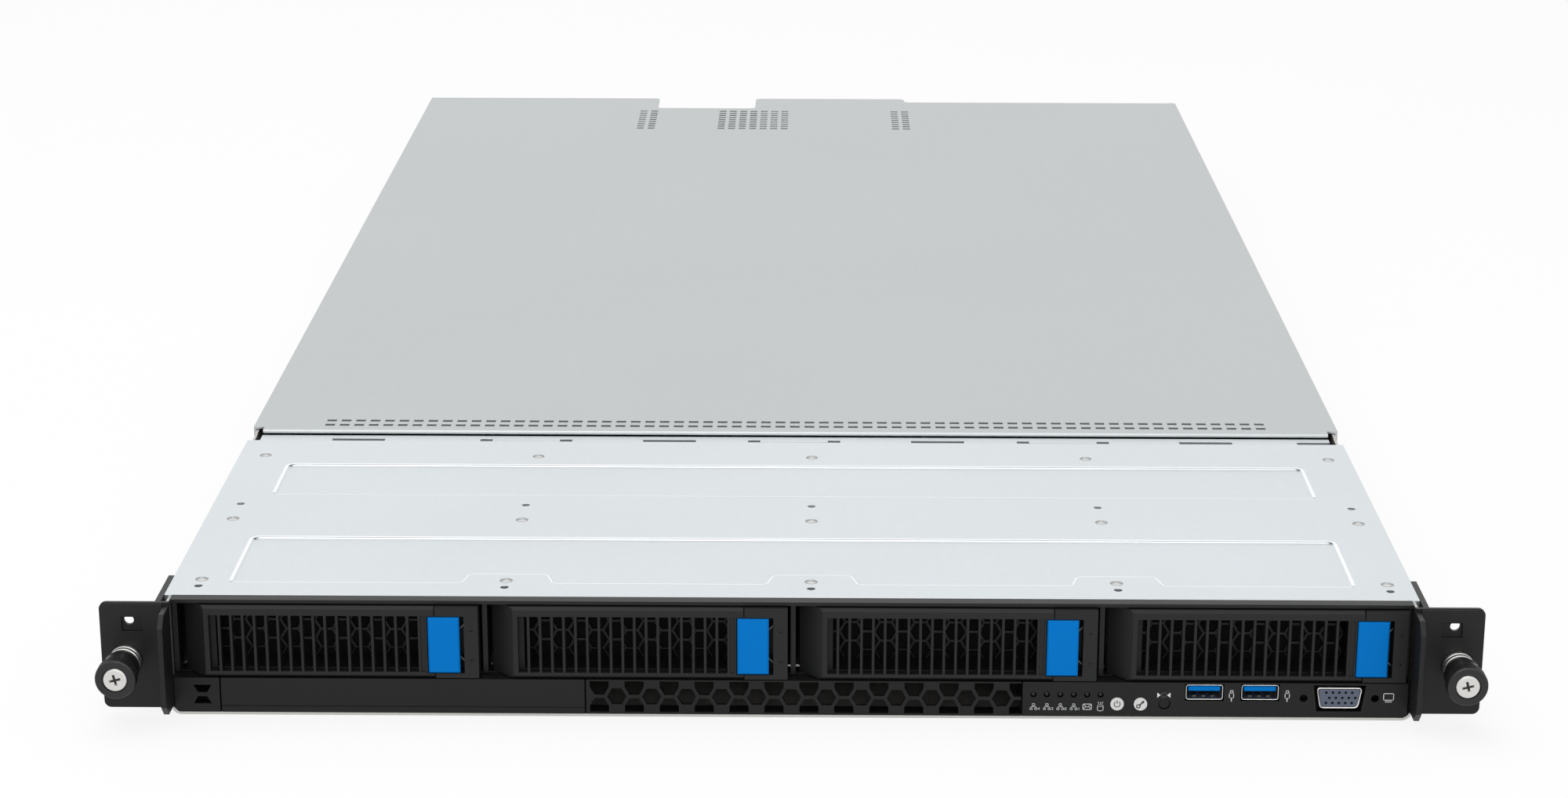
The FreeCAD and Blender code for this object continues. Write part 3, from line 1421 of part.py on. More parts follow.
riser_top = size("riser_top", 41.4)
riser_steel = size("riser_steel", 0.8)


def riser_cages():
    """Sheet brackets and upright boards that carry the expansion cards."""
    pieces = []
    along = (650.0, rear_plane - 14.0)
    for x, foot in (((-214.0, -88.5), steel), ((-24.0, 57.0), board_top)):
        top = block("riser_top", x, along, (riser_top - riser_steel, riser_top))
        side = block("riser_side", (x[0], x[0] + riser_steel), along, (foot, riser_top - 0.2))
        pieces.append(fuse("riser_bracket", [top, side]))
        board_x = x[1] - 2.1
        pieces.append(block("riser_board", (board_x, board_x + board_thick), (660.0, 790.0),
                            (board_top, riser_top - riser_steel)))
    return node(group("riser_group", pieces), "riser_cages")


# ---------------------------------------------------------------------------
# Power supplies, drawn from their own left, rear face and bottom
# ---------------------------------------------------------------------------
supply_low = size("supply_low", 1.15)
inlet_wide = size("inlet_wide", 25.0)
inlet_tall = size("inlet_tall", 17.0)
inlet_deep = size("inlet_deep", 16.0)
inlet_left = size("inlet_left", 6.5)
inlet_low = size("inlet_low", 5.0)
grille_middle = size("grille_middle", 55.0)
handle_x = size("handle_x", 33.0)
handle_reach = size("handle_reach", 24.0)
handle_thick = size("handle_thick", 2.4)
tab_x = size("tab_x", 2.2)
tab_wide = size("tab_wide", 3.0)
tab_travel = size("tab_travel", 2.0)
supply_rear = case_length - rear_step + 1.0


def supply_place(index):
    """Left side of a supply in the bay."""
    return bay_wall + 2.6 + index * supply_pitch


def power_supply(index):
    """Closed case with an inlet, a perforated fan opening and a looped handle at its rear."""
    name = f"power_supply_{index + 1}"
    body = new_body(f"{name}_body")
    case = sketch(body, "XY_Plane")
    rectangle(case, (0, supply_width), (-supply_length, 0))
    pad(body, case, supply_height)
    inlet = sketch(body, "XZ_Plane", 0.0)
    rectangle(inlet, (inlet_left, inlet_left + inlet_wide), (inlet_low, inlet_low + inlet_tall))
    pocket(body, inlet, inlet_deep, back=True)
    pins = sketch(body, "XZ_Plane", inlet_deep + 0.5)
    middle_x = inlet_left + inlet_wide / 2
    middle_z = inlet_low + inlet_tall / 2
    for shift, rise in ((-6.8, -1.6), (0.0, 2.4), (6.8, -1.6)):
        rectangle(pins, (middle_x + shift - 1.0, middle_x + shift + 1.0),
                  (middle_z + rise - 2.0, middle_z + rise + 2.0))
    pad(body, pins, inlet_deep - 2.5, back=True)
    fan = sketch(body, "XZ_Plane")
    circle(fan, grille_middle, supply_height / 2, 16.5)
    pocket(body, fan, 3.0, back=True)
    relief = sketch(body, "XZ_Plane")
    rectangle(relief, (tab_x - 1.0, tab_x + tab_wide + tab_travel + 0.2),
              (supply_height - 13.2, supply_height - 4.8))
    pocket(body, relief, 9.0, back=True)
    handle = sketch(body, "YZ_Plane", handle_x)
    low = 4.0
    high = supply_height - 4.0
    outline(handle, [
        (-0.5, low), (handle_reach - 4.0, low), (handle_reach, low + 4.0),
        (handle_reach, high - 4.0), (handle_reach - 4.0, high), (-0.5, high),
        (-0.5, high - handle_thick), (handle_reach - 5.0, high - handle_thick),
        (handle_reach - handle_thick, high - 5.0), (handle_reach - handle_thick, low + 5.0),
        (handle_reach - 5.0, low + handle_thick), (-0.5, low + handle_thick)])
    pad(body, handle, 4.0)
    return node(body, name, supply_place(index), supply_rear, supply_low)


def supply_latch(index):
    """Release tab beside the inlet, squeezed sideways, with its stem in the case."""
    name = f"power_supply_{index + 1}_latch"
    body = new_body(f"{name}_body")
    low = supply_height - 12.8
    tab = sketch(body, "XY_Plane", low)
    outline(tab, [(tab_x, -8.5), (tab_x + tab_wide - 1.2, -8.5), (tab_x + tab_wide - 1.2, 1.5),
                  (tab_x + tab_wide, 4.0), (tab_x + tab_wide, 15.0), (tab_x + tab_wide - 1.0, 17.0),
                  (tab_x + 0.4, 17.0), (tab_x, 15.0)])
    pad(body, tab, 7.6)
    return node(body, name, supply_place(index), supply_rear, supply_low)


def write_parts():
    """Check every object and each sub-part, then write one STEP file for each node."""
    doc.recompute()
    for item in doc.Objects:
        if "Invalid" in item.State or "Error" in item.State:
            raise ValueError(f"{item.Name} ({item.Label}) failed: {item.State}")
    os.makedirs("parts", exist_ok=True)
    for item in made:
        shape = item.Shape
        if shape.isNull() or not shape.isValid() or not shape.Solids:
            raise ValueError(f"{item.Label} has no valid solid")
        shape.exportStep(f"parts/{item.Label}.step")
    print(f"wrote {len(made)} sub-parts")


def build():
    """Make every sub-part of the server."""
    chassis_tray()
    front_plate()
    plate_rivets()
    lid()
    front_frame()
    drive_cage()
    backplane()
    for index in range(tray_count):
        tray_carrier(index)
        tray_lever(index)
        tray_latch(index)
        tray_spring(index)
        tray_drive(index)
    corner_piece()
    blank_panel()
    honeycomb_grille()
    control_panel()
    control_board()
    push_button("power_button", power_x, button_radius, 0.4)
    push_button("reset_button", reset_x, button_radius, 0.4)
    push_button("locate_button", locate_x, locate_radius, -0.6)
    usb_sockets()
    video_socket()
    for side, label in ((-1, "left"), (1, "right")):
        ear(side, f"{label}_ear")
        thumbscrew(side, f"{label}_thumbscrew")
    ear_covers()
    thumbscrew_ferrules()
    fan_housings()
    for index in range(fan_count):
        fan_rotor(index)
    mainboard()
    heatsink()
    memory_modules()
    rear_panel()
    slot_covers()
    rear_sockets()
    riser_cages()
    for index in range(2):
        power_supply(index)
        supply_latch(index)


build()
write_parts()
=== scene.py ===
# %% [markdown]
# # Dressing a rack server
# The construction comes in as a fixed frame: every sheet, lever and socket is already in place and
# at its real size. This lesson gives each piece its finish and adds what is too fine for the
# construction: knurling, printed symbols, pins, chips, screens and screws.

# %% Load the frame
import math

import bpy
from mathutils import Matrix, Vector


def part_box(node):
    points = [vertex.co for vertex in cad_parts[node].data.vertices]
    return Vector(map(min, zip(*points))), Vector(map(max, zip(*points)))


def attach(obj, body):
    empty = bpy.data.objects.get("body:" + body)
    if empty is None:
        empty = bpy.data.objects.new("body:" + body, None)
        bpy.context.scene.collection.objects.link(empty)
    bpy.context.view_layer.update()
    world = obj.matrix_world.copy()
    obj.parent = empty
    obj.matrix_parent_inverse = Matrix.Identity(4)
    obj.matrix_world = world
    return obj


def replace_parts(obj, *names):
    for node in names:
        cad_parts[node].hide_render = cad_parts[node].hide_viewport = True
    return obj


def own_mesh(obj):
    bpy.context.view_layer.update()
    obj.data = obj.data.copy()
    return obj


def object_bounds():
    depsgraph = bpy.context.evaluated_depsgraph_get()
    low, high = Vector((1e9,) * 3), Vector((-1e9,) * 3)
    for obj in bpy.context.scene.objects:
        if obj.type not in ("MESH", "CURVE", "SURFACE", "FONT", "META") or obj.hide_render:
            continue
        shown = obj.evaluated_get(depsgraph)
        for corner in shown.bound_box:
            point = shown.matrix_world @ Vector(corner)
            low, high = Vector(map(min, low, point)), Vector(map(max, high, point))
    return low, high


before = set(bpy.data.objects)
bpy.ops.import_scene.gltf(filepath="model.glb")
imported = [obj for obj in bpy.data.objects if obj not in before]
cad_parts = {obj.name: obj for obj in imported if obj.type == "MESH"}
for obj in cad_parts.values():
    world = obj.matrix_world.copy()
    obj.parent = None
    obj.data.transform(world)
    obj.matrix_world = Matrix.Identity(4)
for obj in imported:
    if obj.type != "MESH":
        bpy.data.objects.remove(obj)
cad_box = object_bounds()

# %% [markdown]
# Most sizes on such a machine are known in millimetres from the plane of the drive fronts, the
# face plane. One function turns them into points of the row frame, and one reads a node's box back
# in the same measure, so that what is added finds its place by the piece that it belongs to.

# %% Millimetres from the face plane
MM = 0.001
face_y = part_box("blank_panel")[0].y


def at(x, depth, z):
    """A point from millimetres: x from the middle, depth from the face plane, z from the bottom."""
    return Vector((x * MM, face_y + depth * MM, z * MM))


def extent(node):
    """Both ends of a node's box along x, depth and z, in millimetres."""
    low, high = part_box(node)
    face = Vector((0.0, face_y, 0.0))
    return [(round(a / MM, 3), round(b / MM, 3)) for a, b in zip(low - face, high - face)]


def centre(ends):
    return sum(ends) / 2


print("face plane at", round(face_y, 4), "m, lid from", extent("lid")[1], "mm behind it")

# %% [markdown]
# ## Shader sums
# A finish is easier to read as arithmetic than as a diagram. The class Wire stands for one
# socket; adding or multiplying wires makes the Math nodes. Everything else goes through
# Tree.node, which takes a node's type, its settings and what its sockets are fed with. Both the
# materials and the world are such trees.

# %% Wires and finishes
class Wire:
    """One output socket that can be used in sums."""

    def __init__(self, tree, socket):
        self.tree = tree
        self.socket = socket

    def math(self, operation, first, second):
        return self.tree.node("ShaderNodeMath", {"operation": operation}, {0: first, 1: second})

    def __add__(self, other):
        return self.math("ADD", self, other)

    def __radd__(self, other):
        return self.math("ADD", other, self)

    def __sub__(self, other):
        return self.math("SUBTRACT", self, other)

    def __rsub__(self, other):
        return self.math("SUBTRACT", other, self)

    def __mul__(self, other):
        return self.math("MULTIPLY", self, other)

    def __rmul__(self, other):
        return self.math("MULTIPLY", other, self)

    def __gt__(self, other):
        return self.math("GREATER_THAN", self, other)

    def __lt__(self, other):
        return self.math("LESS_THAN", self, other)


class Tree:
    """The nodes of a material or of the world."""

    def __init__(self, owner):
        owner.use_nodes = True
        self.nodes = owner.node_tree.nodes
        self.links = owner.node_tree.links
        self.nodes.clear()

    def feed(self, socket, value):
        if isinstance(value, Wire):
            self.links.new(value.socket, socket)
        elif socket.type == "RGBA" and len(value) == 3:
            socket.default_value = (*value, 1.0)
        else:
            socket.default_value = value

    def node(self, kind, settings=None, inputs=None, output=0):
        made = self.nodes.new(kind)
        for name, value in (settings or {}).items():
            setattr(made, name, value)
        for key, value in (inputs or {}).items():
            self.feed(made.inputs[key], value)
        return Wire(self, made.outputs[output])

    def shown(self):
        """1 where the camera looks, also by way of metal or glass, and 0 for the light's own rays."""
        rays = [self.node("ShaderNodeLightPath", output=f"Is {kind} Ray")
                for kind in ("Camera", "Glossy", "Transmission")]
        return rays[0].math("MAXIMUM", rays[0].math("MAXIMUM", rays[0], rays[1]), rays[2])


class Finish(Tree):
    """A material with one Principled shader."""

    def __init__(self, name, **fixed):
        self.material = bpy.data.materials.new(name)
        super().__init__(self.material)
        self.shader = self.nodes.new("ShaderNodeBsdfPrincipled")
        self.out = self.nodes.new("ShaderNodeOutputMaterial")
        self.surface = Wire(self, self.shader.outputs[0])
        self.feed(self.out.inputs[0], self.surface)
        for socket, value in fixed.items():
            self.set(socket.replace("_", " "), value)

    def set(self, name, value):
        """Feed a socket of the shader."""
        self.feed(self.shader.inputs[name], value)

    def place(self, stretch=(1, 1, 1)):
        """Position in metres on the piece, stretched along its axes."""
        here = self.node("ShaderNodeTexCoord", output="Object")
        return self.node("ShaderNodeVectorMath", {"operation": "MULTIPLY"}, {0: here, 1: stretch})

    def axis(self, name):
        """One coordinate of the position, in metres."""
        here = self.node("ShaderNodeTexCoord", output="Object")
        return self.node("ShaderNodeSeparateXYZ", None, {0: here}, name)

    def noise(self, scale, detail=2.0, stretch=(1, 1, 1)):
        return self.node("ShaderNodeTexNoise", None, {
            "Vector": self.place(stretch), "Scale": scale, "Detail": detail})

    def cells(self, scale):
        """Distance from the middle of the nearest of many cells."""
        return self.node("ShaderNodeTexVoronoi", None, {
            "Vector": self.place(), "Scale": scale}, "Distance")

    def mix(self, factor, first, second):
        """Between two colours."""
        return self.node("ShaderNodeMix", {"data_type": "RGBA"}, {0: factor, 6: first, 7: second}, 2)

    def relief(self, height, strength, distance, soft_edge=0.0):
        """Bump from a height, over edges rounded by soft_edge metres."""
        inputs = {"Height": height, "Strength": strength, "Distance": distance}
        if soft_edge:
            inputs["Normal"] = self.node("ShaderNodeBevel", {"samples": 4}, {"Radius": soft_edge})
        self.set("Normal", self.node("ShaderNodeBump", None, inputs))
        return self


print("shader helpers ready")

# %% [markdown]
# ## Sheet metal
# Galvanised sheet is not one grey: the zinc leaves faint patches a few centimetres wide, crystals
# of a millimetre or two, and fine lines along the direction in which the sheet was rolled. The
# patches are noise at its real scale, the lines are noise stretched along the case, and the
# crystals are small cells.

# %% Galvanised sheets
def sheet_metal(name, tint, rough, patch=0.05, line=0.05):
    finish = Finish(name, Metallic=0.88)
    patches = finish.noise(7.0, 3.0)
    crystals = finish.cells(480.0)
    lines = finish.noise(1.0, 3.0, (1400.0, 14.0, 1400.0))
    lighter = tuple(min(1.0, part * (1 + patch)) for part in tint)
    darker = tuple(part * (1 - patch) for part in tint)
    shade = patches * 0.7 + crystals * 0.3 + lines * 0.15 - 0.05
    finish.set("Base Color", finish.mix(shade, darker, lighter))
    finish.set("Roughness", rough + (patches - 0.5) * 0.08 + (lines - 0.5) * line)
    return finish.relief(lines * 0.6 + crystals * 0.4, 0.12, 0.00004, 0.0003).material


lid_sheet = sheet_metal("lid_sheet", (0.50, 0.525, 0.53), 0.42)
plate_sheet = sheet_metal("plate_sheet", (0.66, 0.70, 0.72), 0.4)
case_sheet = sheet_metal("case_sheet", (0.56, 0.55, 0.53), 0.4)
plated_steel = sheet_metal("plated_steel", (0.62, 0.625, 0.62), 0.3, 0.03, 0.1)
# Paler copy of the plate's sheet: painted highlight for the rims of the pressed fields.
painted_highlight_sheet = sheet_metal("painted_highlight_sheet", (0.93, 0.95, 0.96), 0.3, 0.03)
# Darker copy of the plate's sheet: painted shade for the rings round the rivet dishes.
painted_shade_ring_sheet = sheet_metal("painted_shade_ring_sheet", (0.36, 0.375, 0.38), 0.45, 0.04)
print("six sheet finishes")

# %% [markdown]
# ## Paint and plastic
# The front is all black, yet no two blacks are the same: the levers are moulded plastic with a
# spark-eroded grain, the ears and the frame are steel with a finer, slightly glossier coat. Grain
# is a small noise in the bump, a little of it in the roughness, and every edge is eased.

# %% Blacks, blue and white
def moulded(name, colour, rough, grain=2200.0, bump=0.25, sheen=0.3, soft=0.00025, spread=0.15):
    finish = Finish(name, Specular_IOR_Level=sheen)
    fine = finish.noise(grain, 2.0)
    broad = finish.noise(38.0, 3.0)
    lighter = tuple(part * (1 + spread) for part in colour)
    darker = tuple(part * (1 - spread) for part in colour)
    finish.set("Base Color", finish.mix(broad * 0.6 + fine * 0.4, darker, lighter))
    finish.set("Roughness", rough + (fine - 0.5) * 0.12 + (broad - 0.5) * 0.06)
    return finish.relief(fine, bump, 0.00005, soft).material


tray_black = moulded("tray_black", (0.0125, 0.0128, 0.013), 0.52, 2200.0, 0.22, 0.25)
panel_black = moulded("panel_black", (0.0075, 0.0077, 0.008), 0.46, 2600.0, 0.2, 0.24)
coat_black = moulded("coat_black", (0.0065, 0.0067, 0.0072), 0.42, 1100.0, 0.3, 0.3, 0.0003)
knob_black = moulded("knob_black", (0.007, 0.007, 0.0075), 0.36, 1800.0, 0.2, 0.45, 0.00015)
latch_blue = moulded("latch_blue", (0.0, 0.185, 0.60), 0.5, 2400.0, 0.06, 0.06, 0.0003, 0.04)
button_white = moulded("button_white", (0.74, 0.74, 0.73), 0.4, 2600.0, 0.06, 0.4, 0.0002, 0.03)
print_white = moulded("print_white", (0.80, 0.81, 0.81), 0.55, 3000.0, 0.1, 0.3, 0.0, 0.05)
release_green = moulded("release_green", (0.03, 0.30, 0.12), 0.42, 2200.0, 0.12, 0.4)
fan_black = moulded("fan_black", (0.016, 0.016, 0.018), 0.38, 1500.0, 0.15, 0.4)
screen_steel = moulded("screen_steel", (0.028, 0.0285, 0.029), 0.4, 1500.0, 0.2, 0.4, 0.0001)
lens_dark = moulded("lens_dark", (0.006, 0.0062, 0.006), 0.2, 900.0, 0.05, 0.4, 0.0001)
print("eleven moulded or painted finishes")

# %% [markdown]
# ## Bright parts and castings
# Nickel and turned steel keep soft streaks along the way they were drawn, so a stretched noise
# moves both their colour and their gloss. A drive's casting is rough and only half bright, and the
# end that shows between the bars of its lever is painted nearly black, painted shade for the dark
# behind the slots.

# %% Bright metals
def metal(name, colour, rough, streak=0.06, grain=700.0, soft=0.00015, metallic=0.95):
    finish = Finish(name, Metallic=metallic)
    streaks = finish.noise(1.0, 3.0, (grain, grain * 0.06, grain))
    fine = finish.noise(grain * 2.2, 2.0)
    darker = tuple(part * 0.86 for part in colour)
    finish.set("Base Color", finish.mix(streaks * 0.6 + fine * 0.4, darker, colour))
    finish.set("Roughness", rough + (streaks - 0.5) * streak * 2)
    return finish.relief(fine * 0.5 + streaks * 0.5, 0.12, 0.00004, soft).material


nickel = metal("nickel", (0.74, 0.73, 0.70), 0.22)
screw_steel = metal("screw_steel", (0.72, 0.71, 0.69), 0.28, 0.1, 900.0)
fin_metal = metal("fin_metal", (0.72, 0.73, 0.74), 0.33, 0.1, 1600.0, 0.0)
gold_contact = metal("gold_contact", (0.78, 0.56, 0.22), 0.25, 0.05, 1500.0, 0.0)
spring_dark = metal("spring_dark", (0.10, 0.10, 0.095), 0.36, 0.05, 1200.0, 0.0001, 0.8)


SHADE_PAINTED_TO = 18


def drive_finish():
    """Cast housing whose front end is painted nearly black as painted shade."""
    finish = Finish("drive_casting", Metallic=0.6)
    grain = finish.noise(1500.0, 2.0)
    cloud = finish.noise(24.0, 3.0)
    # The front end is painted shade: nearly black and rougher up to this depth.
    shade_painted_front = finish.axis("Y") < face_y + SHADE_PAINTED_TO * MM
    bare = finish.mix(grain * 0.5 + cloud * 0.5, (0.24, 0.245, 0.25), (0.34, 0.345, 0.35))
    finish.set("Base Color", finish.mix(shade_painted_front, bare, (0.0022, 0.0022, 0.0024)))
    finish.set("Roughness", 0.46 + grain * 0.1 + shade_painted_front * 0.3)
    return finish.relief(grain, 0.15, 0.00005, 0.0003).material


cast_metal = drive_finish()
print("six metals")

# %% [markdown]
# ## Circuit boards
# Solder mask is a thin green lacquer over copper. The traces under it show as slightly lighter
# lines, which are bands of a gently bent position, along the board in some patches and across it in
# others. Small cells make the bright solder pads, which lie in groups.

# %% Circuit boards
def board_finish(name, mask, trace, pitch=0.0021):
    finish = Finish(name, Specular_IOR_Level=0.5)
    x = finish.axis("X")
    y = finish.axis("Y")
    bend = finish.noise(26.0, 1.0) * 0.012
    trace_width = pitch * 0.22
    along, across = [x.math("PINGPONG", place + bend, pitch) < trace_width for place in (x, y)]
    choice = finish.noise(19.0, 1.0) > 0.5
    lines = along * choice + across * (1 - choice)
    pads = (finish.cells(330.0) < 0.13) * (finish.noise(55.0, 2.0) > 0.56)
    lacquer = finish.mix(lines, mask, trace)
    finish.set("Base Color", finish.mix(pads, lacquer, (0.62, 0.60, 0.55)))
    finish.set("Roughness", 0.34 + finish.noise(300.0) * 0.1 - pads * 0.1)
    finish.set("Metallic", pads)
    return finish.relief(lines, 0.3, 0.00005, 0.0).material


board_green = board_finish("board_green", (0.012, 0.075, 0.035), (0.02, 0.12, 0.055))
module_green = board_finish("module_green", (0.010, 0.085, 0.04), (0.02, 0.13, 0.06), 0.0012)
chip_black = moulded("chip_black", (0.016, 0.016, 0.017), 0.55, 2000.0, 0.12, 0.3, 0.0001)
insert_grey = moulded("insert_grey", (0.105, 0.125, 0.175), 0.5, 1800.0, 0.12, 0.4, 0.0001)
socket_black = moulded("socket_black", (0.02, 0.02, 0.021), 0.45, 1800.0, 0.12, 0.35, 0.0002)
print("two board finishes, chips and inserts")

# %% [markdown]
# ## Dressing the construction
# Every node of the construction gets one of these finishes. The names of the nodes say what they
# are made of, so a short list of name parts is enough; the first part that fits decides.

# %% Finishes of the nodes
FINISH_OF = [
    ("latch", latch_blue), ("_carrier", tray_black), ("_lever", tray_black), ("_spring", spring_dark),
    ("_drive", cast_metal), ("front_plate", plate_sheet), ("lid", lid_sheet),
    ("chassis_tray", case_sheet), ("rivets", screw_steel), ("front_frame", coat_black),
    ("drive_cage", case_sheet), ("backplane", board_green), ("corner_piece", panel_black),
    ("blank_panel", panel_black), ("honeycomb", panel_black), ("control_panel", panel_black),
    ("control_board", board_green), ("usb_sockets", nickel), ("video_socket", nickel),
    ("_ear", coat_black), ("ear_covers", coat_black), ("ferrules", screw_steel),
    ("fan_housings", fan_black), ("fan_rotor", fan_black), ("mainboard", board_green),
    ("heatsink", fin_metal), ("memory", module_green), ("rear_panel", case_sheet),
    ("slot_covers", plated_steel), ("rear_sockets", nickel), ("riser", plated_steel),
    ("thumbscrew", knob_black), ("locate_button", panel_black), ("_button", button_white),
    ("power_supply", plated_steel)]


def finish_of(node):
    if node.startswith("power_supply") and node.endswith("latch"):
        return release_green
    return next(finish for part, finish in FINISH_OF if part in node)


def wear(thing, material):
    thing.data.materials.clear()
    thing.data.materials.append(material)


for name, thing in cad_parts.items():
    wear(thing, finish_of(name))
print(len(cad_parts), "nodes dressed")

# %% [markdown]
# ## Camera
# The camera stands in front, a little above, and looks down some seventeen degrees with a long
# lens. Its turn is built from the three directions that it looks along, to the right and up, which
# is easier to check than three mixed angles.

# %% Camera
camera_data = bpy.data.cameras.new("camera")
camera = bpy.data.objects.new("camera", camera_data)
bpy.context.scene.collection.objects.link(camera)
camera_data.lens = 75.456
camera_data.sensor_width = 36.0
camera_data.clip_end = 60.0
CAMERA_PLACE = Vector((0.007915, -1.49325, 0.4485))
PITCH = 0.2995
YAW = -0.009705
ROLL = -0.001499
ahead = Vector((math.sin(YAW) * math.cos(PITCH), math.cos(YAW) * math.cos(PITCH), -math.sin(PITCH)))
level = Vector((math.cos(YAW), -math.sin(YAW), 0.0))
under = ahead.cross(level)
right = math.cos(ROLL) * level + math.sin(ROLL) * under
up = math.sin(ROLL) * level - math.cos(ROLL) * under
turn = Matrix((right, up, -ahead)).transposed().to_4x4()
camera.matrix_world = Matrix.Translation(CAMERA_PLACE) @ turn
bpy.context.scene.camera = camera
print("camera at", tuple(round(part, 3) for part in CAMERA_PLACE))

# %% [markdown]
# ## Light
# The light is a white studio: a pale world, a broad softbox over the server and a lower one behind
# the camera, which lights the black front. The world shows white to the camera and in the metal,
# and lights the server less than that, so that the pale sheets keep their grey.

# %% Lamps and world
def softbox(name, place, target, width, depth, watts):
    light = bpy.data.lights.new(name, "AREA")
    light.shape = "RECTANGLE"
    light.size = width
    light.size_y = depth
    light.energy = watts
    lamp = bpy.data.objects.new(name, light)
    bpy.context.scene.collection.objects.link(lamp)
    aim = (Vector(target) - Vector(place)).to_track_quat("-Z", "Y")
    lamp.matrix_world = Matrix.Translation(place) @ aim.to_matrix().to_4x4()


softbox("softbox_over", (-0.35, -0.2, 1.9), (0.0, 0.0, 0.0), 2.2, 1.8, 16.0)
softbox("softbox_front", (0.3, -2.6, 1.1), (0.0, -0.4, 0.0), 2.4, 0.9, 14.0)

WORLD_LIGHT, WORLD_SHOWN = 0.62, 1.03
world = bpy.data.worlds.new("studio")
bpy.context.scene.world = world
sky = Tree(world)
strength = sky.node("ShaderNodeMapRange", None, {
    "Value": sky.shown(), "To Min": WORLD_LIGHT, "To Max": WORLD_SHOWN})
glow = sky.node("ShaderNodeBackground", None, {"Color": (1.0, 1.0, 1.0), "Strength": strength})
sky.feed(sky.nodes.new("ShaderNodeOutputWorld").inputs["Surface"], glow)
bpy.context.scene.view_settings.view_transform = "Standard"
print("world and two softboxes")

# %% [markdown]
# ## Floor
# A plain pale floor carries the server's shadow. To the camera most of it glows about as the world
# does, so that floor and background meet without an edge; the rest is a matt surface, and only
# that part takes the shadow.

# %% Floor
FLOOR_GLOW, GLOW_SHARE, FLOOR_REACH = 1.04, 0.8, 14.0


def floor_finish():
    finish = Finish("floor_pale", Roughness=0.9, Specular_IOR_Level=0.1)
    cloud = finish.noise(3.0, 2.0)
    finish.set("Base Color", finish.mix(cloud, (0.80, 0.80, 0.80), (0.84, 0.84, 0.84)))
    glow = finish.node("ShaderNodeEmission", None, {"Strength": FLOOR_GLOW})
    blend = finish.node("ShaderNodeMixShader", None, {
        0: finish.shown() * GLOW_SHARE, 1: finish.surface, 2: glow})
    finish.feed(finish.out.inputs[0], blend)
    return finish.material


floor_mesh = bpy.data.meshes.new("floor")
floor_z = cad_box[0][2]
corners = [(u * FLOOR_REACH, v * FLOOR_REACH, floor_z) for u, v in ((-1, -1), (1, -1), (1, 1), (-1, 1))]
floor_mesh.from_pydata(corners, [], [(0, 1, 2, 3)])
floor = bpy.data.objects.new("floor", floor_mesh)
bpy.context.scene.collection.objects.link(floor)
wear(floor, floor_finish())
print("floor at z", round(floor_z, 4))

# %% [markdown]
# ## Solids in mesh code
# The small pieces that the construction leaves out are drawn as meshes. They start from flat
# outlines seen from the front. An outline can be drawn in by the same amount all round, which is
# what a chamfer needs.

# %% Outlines
def disc(x, z, radius, sides=24):
    """Points of a circle, counter-clockwise as seen from the front."""
    angles = [2 * math.pi * k / sides for k in range(sides)]
    return [(x + radius * math.cos(a), z + radius * math.sin(a)) for a in angles]


def rounded(x0, x1, z0, z1, radius, steps=4):
    """Rectangle with round corners."""
    corners = ((x1 - radius, z1 - radius, 0), (x0 + radius, z1 - radius, 1),
               (x0 + radius, z0 + radius, 2), (x1 - radius, z0 + radius, 3))
    turns = [(x, z, (quarter + k / steps) * math.pi / 2)
             for x, z, quarter in corners for k in range(steps + 1)]
    return [(x + radius * math.cos(a), z + radius * math.sin(a)) for x, z, a in turns]


def inset(outline, amount):
    """The outline moved inwards by the same amount all round."""
    moved = []
    for k, point in enumerate(outline):
        before, here = Vector(outline[k - 1]), Vector(point)
        after = Vector(outline[(k + 1) % len(outline)])
        into, out = (here - before).normalized(), (after - here).normalized()
        side = Vector((-into.y - out.y, into.x + out.x)).normalized()
        lean = max(0.3, side.dot(Vector((-out.y, out.x))))
        moved.append(tuple(here + side * (amount / lean)))
    return moved


print("outlines ready:", len(rounded(0, 2, 0, 1, 0.2)), "points in a rounded rectangle")

# %% [markdown]
# A `Solid` gathers points in millimetres and grows by prisms, frames, strokes and turned bodies.
# The larger pieces get a small chamfer, so that their edges catch the light. Plain mesh code was
# chosen over modifiers because every point then has a known place in the row frame.

